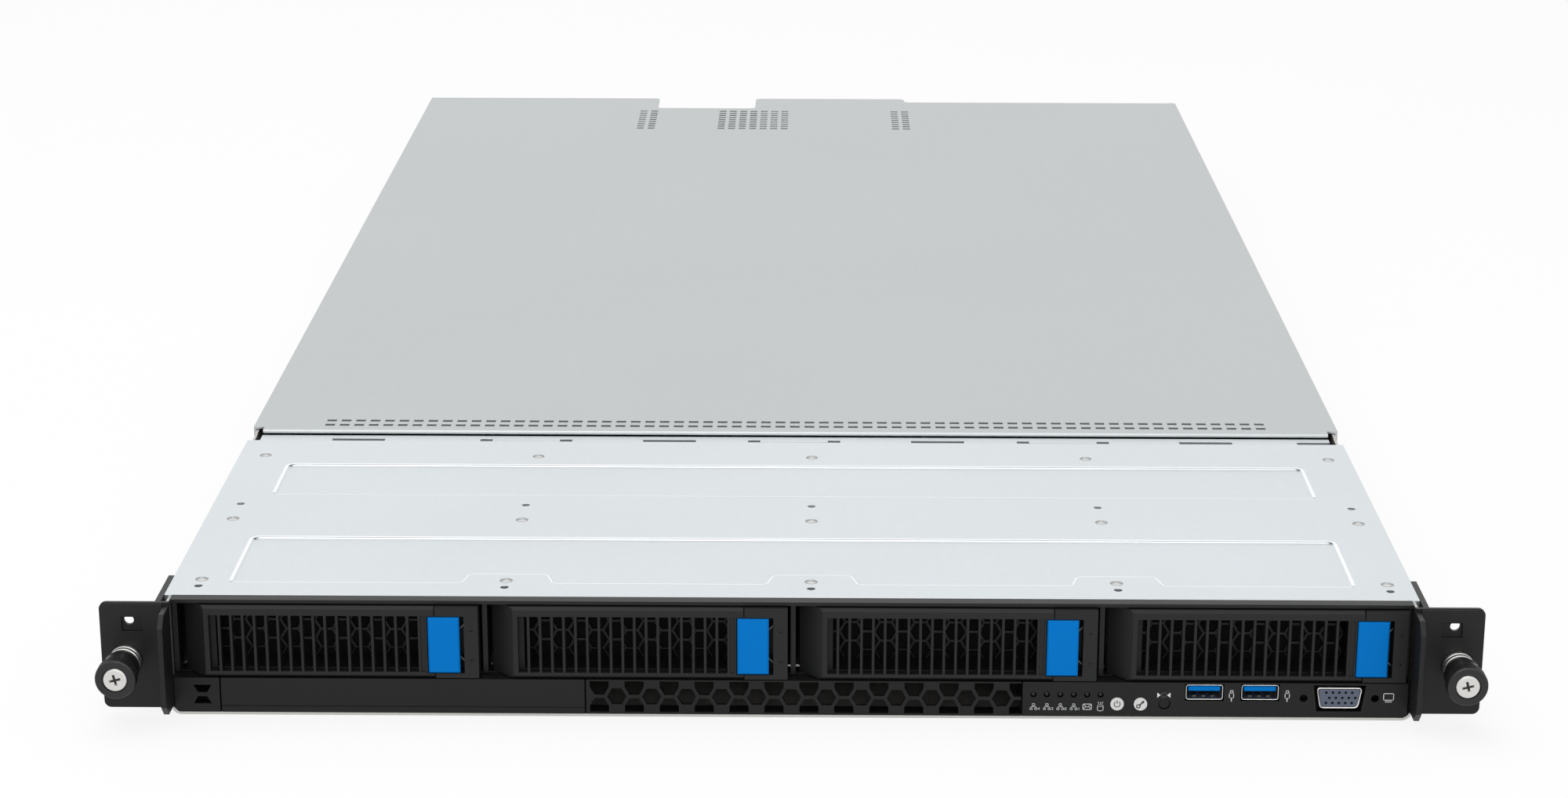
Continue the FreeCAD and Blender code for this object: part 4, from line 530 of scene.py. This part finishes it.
# %% Solid
class Solid:
    """Gathers points as (x, depth, z) in millimetres and makes one object of them."""

    def __init__(self):
        self.points, self.faces = [], []

    def ring(self, outline, depth):
        first = len(self.points)
        self.points += [(x, depth, z) for x, z in outline]
        return list(range(first, len(self.points)))

    def skin(self, rings):
        """Walls between rings that follow each other."""
        for one, two in zip(rings, rings[1:]):
            for k in range(len(one)):
                after = (k + 1) % len(one)
                self.faces.append((one[k], two[k], two[after], one[after]))

    def prism(self, outline, front, rear, chamfer=0.0):
        rings = [self.ring(inset(outline, chamfer), front)] if chamfer else []
        rings += [self.ring(outline, front + chamfer), self.ring(outline, rear)]
        self.skin(rings)
        self.faces += [tuple(rings[0]), tuple(reversed(rings[-1]))]
        return self

    def frame(self, outer, inner, front, rear, lip=0.0):
        """A prism with a way through; both outlines have as many points."""
        rings = [self.ring(inner, rear), self.ring(inner, front + lip)]
        if lip:
            rings += [self.ring(inset(inner, -lip), front), self.ring(inset(outer, lip), front)]
        rings += [self.ring(outer, front + lip), self.ring(outer, rear)]
        self.skin(rings + rings[:1])
        return self

    def stroke(self, line, width, front=-0.03, rear=0.02, closed=False):
        """A flat line through several points."""
        ends = line[1:] + line[:1] if closed else line[1:]
        for start, end in zip(line, ends):
            a, b = Vector(start), Vector(end)
            along = (b - a).normalized() * width / 2
            across = Vector((-along.y, along.x))
            a, b = a - along * 0.6, b + along * 0.6
            self.prism([tuple(a - across), tuple(b - across), tuple(b + across), tuple(a + across)],
                       front, rear)
        return self

    def turned(self, x, z, profile, sides=32, ripple=None):
        """A body turned about a line from front to rear, given (radius, depth) pairs."""
        rings = []
        for radius, depth in profile:
            ring = disc(0, 0, 1.0, sides)
            if ripple:
                ring = [(u * ripple(k, depth), v * ripple(k, depth)) for k, (u, v) in enumerate(ring)]
            rings.append(self.ring([(x + u * radius, z + v * radius) for u, v in ring], depth))
        self.skin(rings)
        self.faces += [tuple(rings[0]), tuple(reversed(rings[-1]))]
        return self

    def make(self, name, body, finish, slot):
        mesh = bpy.data.meshes.new(name)
        mesh.from_pydata([at(*point) for point in self.points], [], self.faces)
        mesh.update()
        made = bpy.data.objects.new(name, mesh)
        bpy.context.scene.collection.objects.link(made)
        wear(made, finish)
        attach(made, body)
        return made


print("solids ready")

# %% [markdown]
# ## Drive trays
# Behind the slots of every lever stands a stamped screen of flat-topped hexagons, about twelve
# millimetres from one column to the next but one. Its upper webs catch the light between the bars.
# Two small light pipes shine through the right end of each tray.

# %% Tray screens and light pipes
HEX_SIDE, WEB = 4.09, 0.9
SCREEN_LEFT, SCREEN_RIGHT, SCREEN_LOW, SCREEN_HIGH = 5.8, 91.8, 1.5, 25.0
HEX_START, HEX_MIDDLE = 30.6, 12.56
SCREEN_FRONT, SCREEN_REAR = 14.85, 15.5


def hexagon(x, z, side, limits):
    """Flat-topped hexagon, cut off at the screen's edges."""
    left, right, low, high = limits
    return [(min(max(u, left), right), min(max(v, low), high))
            for u, v in disc(x, z, side, 6)]


def tray_screen(left, low):
    screen = Solid()
    limits = (left + SCREEN_LEFT, left + SCREEN_RIGHT, low + SCREEN_LOW, low + SCREEN_HIGH)
    column, row = HEX_SIDE * 3, HEX_SIDE * math.sqrt(3) / 2
    for step in range(-4, 5):
        z = low + HEX_MIDDLE + step * row
        shift = column / 2 if step % 2 else 0.0
        for place in range(-3, 7):
            x = left + HEX_START + shift + place * column
            if limits[0] + 1.6 < x < limits[1] - 1.6 and limits[2] + 1.0 < z < limits[3] - 1.0:
                inner = hexagon(x, z, HEX_SIDE - WEB / math.sqrt(3), limits)
                screen.frame(hexagon(x, z, HEX_SIDE, limits), inner, SCREEN_FRONT, SCREEN_REAR, 0.1)
    return screen


for number in range(1, 5):
    body = f"tray_{number}"
    (left, _), _, (low, _) = extent(f"{body}_carrier")
    tray_screen(left, low).make(f"tray_screen_{number}", body, screen_steel, "black_steel")
    pipes = Solid()
    for height in (6.8, 17.9):
        pipes.turned(left + 101.8, low + height, [(0.2, 0.1), (0.36, 0.16), (0.46, 0.35), (0.46, 1.4)], 16)
    pipes.make(f"tray_lamps_{number}", body, lens_dark, "black_plastic")
print("4 tray screens and 8 light pipes")

# %% [markdown]
# ## Thumbscrews
# A knob has a finely knurled rim and a narrower smooth barrel; the bright head of the screw stands
# in a dish, with a cross recess. The shank is thin where the grooved ferrule holds it and carries
# its thread behind the ear.

# %% Thumbscrews and ferrules
knob_ends = extent("right_thumbscrew")
KNOB_X, KNOB_Z = centre(knob_ends[0]), centre(knob_ends[2])
CROSS_TURN = -0.25
CROSS_SIDES = 96
CROSS_TAPER = 0.75
RIDGES = 60
KNOB_PROFILE = [
    (2.2, -21.35), (4.45, -21.4), (4.5, -21.9), (4.62, -22.0), (6.5, -22.0), (6.85, -21.8),
    (6.95, -21.5), (6.95, -21.35), (6.95, -17.3), (6.8, -17.0), (6.35, -16.8), (6.3, -16.5),
    (6.3, -10.4), (6.1, -10.0), (5.9, -9.8), (2.2, -9.8)]
FERRULE_PROFILE = [
    (2.18, -9.45), (4.9, -9.5), (5.4, -9.2), (5.6, -8.9), (5.6, -7.6), (5.2, -7.3), (5.2, -6.9),
    (5.6, -6.6), (5.6, -5.3), (5.2, -5.0), (5.2, -4.6), (5.6, -4.3), (5.6, -1.45), (2.18, -1.4)]


def knurl(k, depth):
    """Four points to a ridge: two out and two in, on the rim only."""
    return 1.0 + (0.02 if k % 4 in (1, 2) else -0.02) * (-21.4 < depth < -17.2)


def cross_radius(k, half_width=0.45, reach=2.1):
    """Distance from the middle to the edge of a cross at one of many equal angles."""
    angle = 2 * math.pi * k / CROSS_SIDES + CROSS_TURN
    near, far = sorted((abs(math.cos(angle)), abs(math.sin(angle))))
    return reach / far if near * reach < half_width * far else half_width / near


def screw_profile():
    """Radius and depth from the underside of the head to the end of the thread."""
    line = [(4.15, -21.2), (2.1, -21.15), (2.1, -0.1)]
    pitch = 0.8
    for turn in range(9):
        depth = 0.1 + turn * pitch
        line += [(2.08, depth), (2.5, depth + pitch * 0.45), (2.5, depth + pitch * 0.6),
                 (2.08, depth + pitch)]
    return line + [(1.5, 7.6)]


def captive_screw(x):
    """Head with its cross recess, thin shank and thread."""
    screw = Solid()
    cross = [cross_radius(k) for k in range(CROSS_SIDES)]
    rings = []
    for depth, size in ((-21.3, CROSS_TAPER), (-22.12, 1.0)):
        star = zip(cross, disc(0, 0, size, CROSS_SIDES))
        rings.append(screw.ring([(x + r * u, KNOB_Z + r * v) for r, (u, v) in star], depth))
    for radius, depth in [(3.3, -22.16), (3.9, -22.02), (4.15, -21.75)] + screw_profile():
        rings.append(screw.ring(disc(x, KNOB_Z, radius, CROSS_SIDES), depth))
    screw.skin(rings)
    screw.faces += [tuple(rings[0]), tuple(reversed(rings[-1]))]
    return screw


for side, word in ((-1, "left"), (1, "right")):
    x = side * KNOB_X
    name = f"{word}_thumbscrew"
    knob = Solid().turned(x, KNOB_Z, KNOB_PROFILE, RIDGES * 4, knurl).make(
        f"{name}_knob", name, knob_black, "knob_plastic")
    bolt = captive_screw(x).make(f"{name}_screw", name, screw_steel, "bright_metal")
    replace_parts(knob, name)
    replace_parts(bolt, name)
    sleeve = Solid()
    rings = [sleeve.ring(disc(x, KNOB_Z, radius, 48), depth) for radius, depth in FERRULE_PROFILE]
    sleeve.skin(rings + rings[:1])
    ferrule = sleeve.make(f"ferrule_{word}", "case", screw_steel, "bright_metal")
    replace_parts(ferrule, "thumbscrew_ferrules")
print("2 knobs, 2 screws, 2 ferrules")

# %% [markdown]
# ## Signs on the control panel
# The prints are generic picture signs a few hundredths of a millimetre proud of the moulding: four
# network ports, a letter, a drive, a lamp for finding the server, two plugs and a screen. Each is
# drawn with flat strokes, so it stays sharp from close by without an image.

# %% Signs
THIN, LINE = 0.16, 0.22
SHELL_X, SHELL_Z = 6.55, 2.85
usb_ends = extent("usb_sockets")
USB_X = [usb_ends[0][0] + SHELL_X, usb_ends[0][1] - SHELL_X]
USB_Z = centre(usb_ends[2])
LAMP_X = [85.2 + 4.71 * k for k in range(6)]
signs = Solid()


def net_sign(x, z, number):
    """Three linked boxes with a small number beside them."""
    signs.stroke(rounded(x - 0.45, x + 0.45, z + 0.45, z + 1.15, 0.05, 1), THIN, closed=True)
    for shift in (-0.85, 0.85):
        signs.stroke(rounded(x + shift - 0.42, x + shift + 0.42, z - 1.1, z - 0.5, 0.05, 1), THIN,
                     closed=True)
    signs.stroke([(x, z + 0.45), (x, z)], THIN)
    signs.stroke([(x - 0.85, z - 0.5), (x - 0.85, z), (x + 0.85, z), (x + 0.85, z - 0.5)], THIN)
    strokes = {1: [(0, 0), (0, 1)], 2: [(-.3, 1), (.3, 1), (.3, .5), (-.3, .5), (-.3, 0), (.3, 0)],
               3: [(-.3, 1), (.3, 1), (.3, .5), (-.2, .5), (.3, .5), (.3, 0), (-.3, 0)],
               4: [(.2, 0), (.2, 1), (-.3, .35), (.35, .35)]}[number]
    signs.stroke([(x + 1.85 + 0.8 * u, z - 1.15 + 0.85 * v) for u, v in strokes], 0.13)


def letter_sign(x, z):
    signs.stroke(rounded(x - 1.5, x + 1.5, z - 1.05, z + 1.05, 0.1, 1), 0.2, closed=True)
    signs.stroke([(x - 1.5, z + 1.0), (x, z - 0.2), (x + 1.5, z + 1.0)], THIN)
    for side in (-1, 1):
        signs.stroke([(x + side * 1.5, z - 1.0), (x + side * 0.5, z + 0.1)], THIN)


def drive_sign(x, z):
    """A drum with three short rays."""
    half = [(1.0, 0.55), (1.0, -1.1), (0.5, -1.4)]
    signs.stroke([(x - u, z + v) for u, v in half] + [(x + u, z + v) for u, v in half[::-1]], 0.18)
    signs.stroke([(x + u, z + 0.6 + 0.38 * v) for u, v in disc(0, 0, 1, 20)], THIN, closed=True)
    for lean in (-0.6, 0.0, 0.6):
        signs.stroke([(x + lean * 0.9, z + 1.35), (x + lean * 1.5, z + 1.95)], THIN)


def locate_sign(x, z):
    """A ring between two arrowheads."""
    signs.stroke(disc(x, z, 0.75, 24), 0.38, closed=True)
    for side in (-1, 1):
        back = [(x + side * 2.3, z - 0.95), (x + side * 2.3, z + 0.95)]
        signs.prism([(x + side * 1.15, z)] + back[::side], -0.03, 0.02)


def plug_sign(x, z):
    signs.stroke(rounded(x - 0.75, x + 0.75, z, z + 1.9, 0.15, 2), LINE, closed=True)
    signs.stroke([(x - 0.45, z + 1.9), (x - 0.45, z + 2.8), (x + 0.45, z + 2.8), (x + 0.45, z + 1.9)], LINE)
    signs.stroke([(x, z), (x, z - 1.2)], 0.3)


def monitor_sign(x, z):
    signs.stroke(rounded(x - 1.75, x + 1.75, z - 1.1, z + 1.35, 0.15, 1), 0.24, closed=True)
    signs.stroke([(x - 1.1, z - 1.75), (x + 1.1, z - 1.75)], 0.28)


for number, x in zip((4, 3, 2, 1), LAMP_X):
    net_sign(x + 0.1, 4.75, number)
letter_sign(LAMP_X[4] + 0.1, 4.8)
drive_sign(LAMP_X[5], 4.7)
locate_sign(130.9, 9.35)
for x in USB_X:
    plug_sign(x + 9.5, 8.4)
monitor_sign(209.6, 9.0)
signs.make("panel_signs", "case", print_white, "white_plastic")
print("panel signs:", len(signs.faces), "faces")

# %% [markdown]
# The power and reset buttons carry dark signs of their own, which ride on the buttons so that they
# go in with them. The panel's six lamps are small dark lenses with rounded edges.

# %% Signs on the buttons and the lamps
power_ends, reset_ends = extent("power_button"), extent("reset_button")
POWER_X, TOOL_X, BUTTON_Z = centre(power_ends[0]), centre(reset_ends[0]), centre(power_ends[2])
CAP = power_ends[1][0]
skin = (CAP - 0.02, CAP + 0.03)
gap = 0.6
angles = [gap + 2 * (math.pi - gap) * k / 24 for k in range(25)]
arc = [(POWER_X + 1.05 * math.sin(a), BUTTON_Z + 1.05 * math.cos(a)) for a in angles]
power_sign = Solid().stroke(arc, 0.26, *skin)
power_sign.stroke([(POWER_X, BUTTON_Z + 0.2), (POWER_X, BUTTON_Z + 1.35)], 0.28, *skin)
power_sign.make("power_button_sign", "power_button", lens_dark, "black_plastic")
tool = Solid().stroke([(TOOL_X - 0.35, BUTTON_Z - 0.35), (TOOL_X + 1.15, BUTTON_Z + 1.15)], 0.5, *skin)
eye = (TOOL_X - 0.75, BUTTON_Z - 0.75)
tool.frame(disc(*eye, 0.8), disc(*eye, 0.42), *skin)
tool.stroke([(TOOL_X + 0.45, BUTTON_Z + 1.1), (TOOL_X + 1.1, BUTTON_Z + 0.45)], 0.26, *skin)
tool.make("reset_button_sign", "reset_button", lens_dark, "black_plastic")
lamps = Solid()
for x in LAMP_X:
    lamps.turned(x, 9.3, [(0.15, 0.5), (0.6, 0.58), (0.85, 0.75), (0.9, 1.1), (0.9, 1.9)], 20)
lamps.make("panel_lamps", "case", lens_dark, "black_plastic")
print("button cap at", round(CAP, 2), "mm; 6 lamps")

# %% [markdown]
# ## Serial bus sockets
# Each shell has round corners and a blue tongue in its upper half, with four bright contacts under
# it. The springs that grip a plug glint below; their metal is tinted dark, painted shade deep in
# the socket. All of it takes the place of the plain blocks that the construction has there.

# %% Serial bus sockets
SHELL_WALL = 0.32
shells, tongues, contacts, springs, insides = [Solid() for _ in range(5)]
for x in USB_X:
    edges, inner, back = [(x - SHELL_X + t, x + SHELL_X - t, USB_Z - SHELL_Z + t, USB_Z + SHELL_Z - t)
                          for t in (0.0, SHELL_WALL, SHELL_WALL - 0.1)]
    shells.frame(rounded(*edges, 0.95), rounded(*inner, 0.65), 0.3, 12.2, 0.1)
    insides.prism(rounded(*back, 0.6), 12.0, 14.0)
    tongues.prism(rounded(x - 5.6, x + 5.6, USB_Z + 0.2, USB_Z + 2.0, 0.25, 3), 0.9, 12.1, 0.25)
    for k in range(4):
        shift = (k - 1.5) * 2.5
        contacts.prism(rounded(x + shift - 0.5, x + shift + 0.5, USB_Z + 0.12, USB_Z + 0.24, 0.05, 2),
                       1.8, 9.0, 0.04)
    for shift in (-3.2, 0.0, 3.2):
        springs.prism([(x + shift - 0.9, USB_Z - 2.6), (x + shift + 0.9, USB_Z - 2.6),
                       (x + shift + 0.6, USB_Z - 2.15), (x + shift - 0.6, USB_Z - 2.15)], 3.0, 8.0, 0.15)
parts = [shells.make("usb_shells", "case", nickel, "bright_metal"),
         tongues.make("usb_tongues", "case", latch_blue, "blue_plastic"),
         contacts.make("usb_contacts", "case", gold_contact, "bright_metal"),
         # The socket springs wear the dark spring metal, painted shade deep in the socket.
         springs.make("usb_springs", "case", spring_dark, "bright_metal"),
         insides.make("usb_backs", "case", socket_black, "black_plastic")]
for part in parts:
    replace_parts(part, "usb_sockets")
print("serial bus sockets at", [round(x, 2) for x in USB_X])

# %% [markdown]
# ## Video socket
# The shell is a D with soft corners. Its insert is built cell by cell, each with its round contact
# hole, so that the fifteen holes are really open; plain strips fill it up to the shell.

# %% Video socket
video_ends = extent("video_socket")
VIDEO_X, VIDEO_Z = centre(video_ends[0]), centre(video_ends[2])
DEE_TOP, DEE_LOW, DEE_TALL = 8.15, 6.8, 3.95
CELL_X, CELL_Z = 1.135, 0.975
CELL_ROWS = ((2 * CELL_Z, 0.0), (0.0, 1.13), (-2 * CELL_Z, 0.0))
INSERT_FRONT, INSERT_REAR = 0.55, 3.0


def softened(outline, radius, steps=4):
    """The outline with every corner rounded."""
    soft = []
    for k, point in enumerate(outline):
        here = Vector(point)
        back = (Vector(outline[k - 1]) - here).normalized() * radius
        on = (Vector(outline[(k + 1) % len(outline)]) - here).normalized() * radius
        for step in range(steps + 1):
            t = step / steps
            soft.append(tuple(here + back * (1 - t) ** 2 + on * t ** 2))
    return soft


def dee(grow, radius=1.6):
    top, low, tall = DEE_TOP + grow, DEE_LOW + grow, DEE_TALL + grow
    return softened([(VIDEO_X - low, VIDEO_Z - tall), (VIDEO_X + low, VIDEO_Z - tall),
                     (VIDEO_X + top, VIDEO_Z + tall), (VIDEO_X - top, VIDEO_Z + tall)], radius + grow)


def side_at(z, grow=-0.7):
    """Half width of the insert at a height."""
    share = (z - VIDEO_Z + DEE_TALL) / (2 * DEE_TALL)
    return DEE_LOW + grow + (DEE_TOP - DEE_LOW) * share


shell = Solid().frame(dee(0.0), dee(-0.55), 0.3, 13.5, 0.18)
insert = Solid()
square = [(u / max(abs(u), abs(v)), v / max(abs(u), abs(v))) for u, v in disc(0, 0, 1, 16)]
for rise, shift in CELL_ROWS:
    z = VIDEO_Z + rise
    for x in [VIDEO_X + shift + (k - 2) * 2 * CELL_X for k in range(5)]:
        outer = [(x + CELL_X * u, z + CELL_Z * v) for u, v in square]
        insert.frame(outer, disc(x, z, 0.52, 16), INSERT_FRONT, INSERT_REAR)
    low, high = z - CELL_Z, z + CELL_Z
    left, right = VIDEO_X + shift - 5 * CELL_X, VIDEO_X + shift + 5 * CELL_X
    insert.prism([(VIDEO_X - side_at(low), low), (left, low), (left, high),
                  (VIDEO_X - side_at(high), high)], INSERT_FRONT, INSERT_REAR)
    insert.prism([(right, low), (VIDEO_X + side_at(low), low), (VIDEO_X + side_at(high), high),
                  (right, high)], INSERT_FRONT, INSERT_REAR)
for low, high in ((VIDEO_Z + 3 * CELL_Z, VIDEO_Z + 3.25), (VIDEO_Z - 3.25, VIDEO_Z - 3 * CELL_Z)):
    lower, upper = side_at(low) - 0.5, side_at(high) - 0.5
    insert.prism([(VIDEO_X - lower, low), (VIDEO_X + lower, low),
                  (VIDEO_X + upper, high), (VIDEO_X - upper, high)], INSERT_FRONT, INSERT_REAR)
back = Solid().prism(dee(-0.5), INSERT_REAR, 13.0)
lugs = Solid()
for side in (-1, 1):
    x = VIDEO_X + side * 12.5
    lugs.prism(rounded(x - 2.4, x + 2.4, VIDEO_Z - 3.4, VIDEO_Z + 3.6, 0.6), 7.6, 12.0, 0.2)
    lugs.turned(x, VIDEO_Z, [(0.9, 6.6), (1.3, 6.8), (1.3, 7.7)], 20)
for piece, name, finish, kind in ((shell, "video_shell", nickel, "bright_metal"),
                                  (insert, "video_insert", insert_grey, "black_plastic"),
                                  (back, "video_back", socket_black, "black_plastic"),
                                  (lugs, "video_lugs", spring_dark, "bright_metal")):
    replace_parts(piece.make(name, "case", finish, kind), "video_socket")
print("video socket with", 5 * len(CELL_ROWS), "contact holes")

# %% [markdown]
# ## Front plate
# The pressed fields of the front plate have smooth rounded rims, which catch the light as thin
# bright lines. They are laid on as low ribbons with round corners, a few hundredths of a millimetre
# high, because the construction's edges are plain slopes, which show no such line; the ribbons'
# sheet is tinted far paler than the plate, a painted highlight. Each rivet dish gets its ring in the
# same way, tinted darker than the plate as painted shade in the dish.

# %% Rims of the pressed fields and dishes
PLATE_Z = extent("front_plate")[2][1]
HOLE_COLUMNS = (-209.4, -101.2, 7.0, 115.2, 211.0)
DISH_ROWS = (163.6, 87.6, 22.4)
FIELDS = ((117.5, 153.2), (20.6, 68.0))
BAND_FOOT = 0.012


def ribbon(solid, path, width, closed=False, height=0.07):
    """A low rounded band along a path of (x, depth) points on the plate."""
    rows = []
    for k, point in enumerate(path):
        before = Vector(path[k - 1] if closed or k else point)
        after = Vector(path[(k + 1) % len(path)] if closed or k + 1 < len(path) else point)
        along = (after - before).normalized()
        side = Vector((-along.y, along.x)) * width / 2
        here = Vector(point)
        first = len(solid.points)
        for share, rise in ((-1.0, BAND_FOOT), (-0.45, height), (0.45, height), (1.0, BAND_FOOT)):
            place = here + side * share
            solid.points.append((place.x, place.y, PLATE_Z + rise))
        rows.append(list(range(first, first + 4)))
    pairs = list(zip(rows, rows[1:])) + ([(rows[-1], rows[0])] if closed else [])
    for one, two in pairs:
        for k in range(3):
            solid.faces.append((one[k], one[k + 1], two[k + 1], two[k]))


def rim_path(near, far, radius=3.2, half=198.9):
    """Up the left edge, round the far corners and down the right edge."""
    left = [(-half, near)]
    left += [(radius * (1 - math.cos(a)) - half, far - radius * (1 - math.sin(a)))
             for a in [math.pi / 2 * k / 8 for k in range(9)]]
    return left + [(-x, y) for x, y in reversed(left)]


rims, fine_rims, dishes = Solid(), Solid(), Solid()
for near, far in FIELDS:
    ribbon(rims, rim_path(near, far), 1.25)
ribbon(fine_rims, [(-198.0, 115.8), (198.0, 115.8)], 0.45, height=0.03)
near_edge = [(-198.0, 19.6)]
step_shape = [(-17.4, 19.6), (-15.6, 20.6), (-13.8, 27.8), (-12.0, 29.0),
              (12.6, 29.0), (14.4, 27.8), (16.4, 20.6), (18.2, 19.6)]
for column in HOLE_COLUMNS[1:4]:
    near_edge += [(column + across, depth) for across, depth in step_shape]
near_edge.append((198.0, 19.6))
ribbon(fine_rims, near_edge, 0.55, height=0.03)
for column in HOLE_COLUMNS:
    for row in DISH_ROWS:
        ribbon(dishes, disc(column, row, 2.15, 24), 0.5, True, 0.05)
# The rims wear the paler sheet, a painted highlight along the pressed edges.
rims.make("plate_field_rims_painted_highlight", "case", painted_highlight_sheet, "galvanised_steel")
fine_rims.make("plate_field_near_rims_painted_highlight", "case", painted_highlight_sheet, "galvanised_steel")
# The dish rings wear the darker sheet, painted shade in the rivet dishes.
dishes.make("plate_rivet_dish_rings_painted_shade", "case", painted_shade_ring_sheet, "galvanised_steel")
print("rims of 2 pressed fields and 15 dishes")

# %% [markdown]
# ## Power supplies
# Each supply has a wire guard over its fan, a trim round its mains inlet and a status lens. The
# guard is four rings and two crossing wires. Everything rides on its supply, so it comes out with it.

# %% Power supply fronts
HANDLE_REACH = 24.0
FAN_ACROSS, FAN_UP = 55.0, 19.75
BLADES = 7
BLADE_SHAPE = ((5.8, 0.0), (10.5, -0.12), (15.6, -0.1), (15.6, 0.5), (10.5, 0.5), (5.8, 0.62))


def fan_guard(x, z, rear):
    guard = Solid()
    for radius in (4.5, 8.2, 11.9, 15.6):
        guard.frame(disc(x, z, radius + 0.4, 32), disc(x, z, radius - 0.4, 32), rear + 0.1, rear + 0.8, 0.15)
    for turn in (0.785, 2.356):
        u, v = 17.2 * math.cos(turn), 17.2 * math.sin(turn)
        guard.stroke([(x - u, z - v), (x + u, z + v)], 0.9, rear + 0.05, rear + 0.7)
    return guard


def supply_fan(x, z, rear):
    hub = [(6.0, rear - 2.9), (6.0, rear - 0.9), (5.4, rear - 0.5), (1.0, rear - 0.45)]
    fan = Solid().turned(x, z, hub, 28)
    for blade in range(BLADES):
        start = 2 * math.pi * blade / BLADES
        outline = [(x + r * math.cos(start + a), z + r * math.sin(start + a)) for r, a in BLADE_SHAPE]
        fan.prism(outline, rear - 2.4, rear - 1.3, 0.2)
    return fan


for number in (1, 2):
    supply = f"power_supply_{number}"
    (left, _), (_, handle), (low, _) = extent(supply)
    rear = handle - HANDLE_REACH
    x, z = left + FAN_ACROSS, low + FAN_UP
    fan_guard(x, z, rear).make(f"supply_{number}_fan_guard", supply, screw_steel, "bright_metal")
    supply_fan(x, z, rear).make(f"supply_{number}_fan", supply, fan_black, "black_plastic")
    outer = rounded(left + 5.0, left + 33.0, low + 3.5, low + 23.5, 1.5)
    inner = rounded(left + 6.5, left + 31.5, low + 5.0, low + 22.0, 0.6)
    trim = Solid().frame(outer, inner, rear + 0.02, rear + 0.7)
    trim.make(f"supply_{number}_inlet_trim", supply, socket_black, "black_plastic")
    lens = Solid().turned(left + 26.0, low + 32.0, [(1.5, rear), (1.5, rear + 0.5), (0.7, rear + 0.8)], 20)
    lens.make(f"supply_{number}_lamp", supply, release_green, "green_plastic")
print("fan guards, fans, inlet trims and lamps on both power supplies")

# %% [markdown]
# ## Under the lid
# Each memory module carries nine chips on either side, with a wider gap after the fourth. The
# modules' places are read off the corners of their own mesh. The main board gets rows of solid
# capacitors and a few flat packages, enough for the eye to read it as a board.

# %% Memory chips
chips = Solid()
faces_x = sorted({round(corner.co.x / MM, 2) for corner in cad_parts["memory_modules"].data.vertices})
front = extent("memory_modules")[1][0]
for k, x in enumerate(faces_x):
    outer = (x - 0.85, x + 0.05) if k % 2 == 0 else (x - 0.05, x + 0.85)
    for place in range(9):
        start = front + 6.0 + place * 13.6 + (4.0 if place > 3 else 0.0)
        chips.prism(rounded(*outer, 20.0, 31.0, 0.12, 1), start, start + 9.4, 0.1)
chips.make("memory_chips", "case", chip_black, "black_plastic")
print(len(faces_x) // 2, "modules with chips")


# %% Capacitors and packages
def upright(solid, x, depth, profile, sides=20):
    """A body turned about a vertical line, from (radius, height) pairs upwards."""
    rings = []
    for radius, height in profile:
        first = len(solid.points)
        solid.points += [(x + u, depth + v, height) for u, v in disc(0, 0, radius, sides)]
        rings.append(list(range(first, first + sides)))
    for one, two in zip(rings, rings[1:]):
        for k in range(sides):
            after = (k + 1) % sides
            solid.faces.append((one[k], one[after], two[after], two[k]))
    solid.faces += [tuple(reversed(rings[0])), tuple(rings[-1])]


BOARD_TOP = 7.6
CAN = ((3.2, 0.0), (3.4, 0.4), (3.4, 1.2), (3.1, 1.5), (3.4, 1.8), (3.4, 8.6), (3.1, 9.0), (2.6, 9.0),
       (2.5, 8.8), (0.4, 8.8))
CAN_PLACES = [(-120.0 + 9.0 * k, 374.0) for k in range(7)]
CAN_PLACES += [(x + step, depth) for x, depth in ((-30.0, 560.0), (20.0, 340.0), (-180.0, 590.0))
               for step in (0.0, 10.0)]
PACKAGES = ((-196.0, 400.0, 12.0, 12.0), (-196.0, 520.0, 9.0, 14.0), (20.0, 420.0, 14.0, 14.0),
            (24.0, 480.0, 8.0, 11.0), (-150.0, 640.0, 16.0, 16.0), (10.0, 560.0, 12.0, 8.0),
            (-100.0, 610.0, 8.0, 8.0), (-60.0, 600.0, 10.0, 6.0))
cans, packages = Solid(), Solid()
for x, depth in CAN_PLACES:
    upright(cans, x, depth, [(radius, BOARD_TOP + height) for radius, height in CAN])
for x, depth, wide, long in PACKAGES:
    outline = rounded(x - wide / 2, x + wide / 2, BOARD_TOP, BOARD_TOP + 1.4, 0.2, 2)
    packages.prism(outline, depth, depth + long, 0.2)
cans.make("board_capacitors", "case", screw_steel, "bright_metal")
packages.make("board_packages", "case", chip_black, "black_plastic")
print(len(CAN_PLACES), "capacitors and", len(PACKAGES), "packages")

# %% [markdown]
# ## Latch springs
# A bowed leaf pushes each blue latch to the left. Its ends rest against the pocket's right wall.
# Its outline is a power curve, flat at the bow and steeper towards both ends, given a wall of
# constant thickness along the latch's travel.

# %% Latch springs
LATCH_TRAVEL, FLAT_SPARE = 1.5, 0.06
LEAF_WALL = 0.3
for number in range(1, 5):
    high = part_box(f"tray_{number}_spring")[1]
    (left, right), (front, rear), height = extent(f"tray_{number}_spring")
    half = (height[1] - height[0]) / 2
    steps = [1 - k / 10 for k in range(21)]
    outer = [(left + (right - left) * abs(t) ** 1.4, centre(height) + half * t) for t in steps]
    inner = [(min(x + LEAF_WALL, right), centre(height) + (z - centre(height)) * 0.93) for x, z in outer]
    leaf = Solid().prism(outer + inner[::-1], front, rear).make(
        f"latch_spring_{number}", f"tray_{number}", spring_dark, "spring_steel")
    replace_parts(leaf, f"tray_{number}_spring")
    travel = LATCH_TRAVEL + FLAT_SPARE
    1 - travel / (right - left)
    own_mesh(leaf)
print("4 leaf springs,", round(right - left, 2), "mm long")
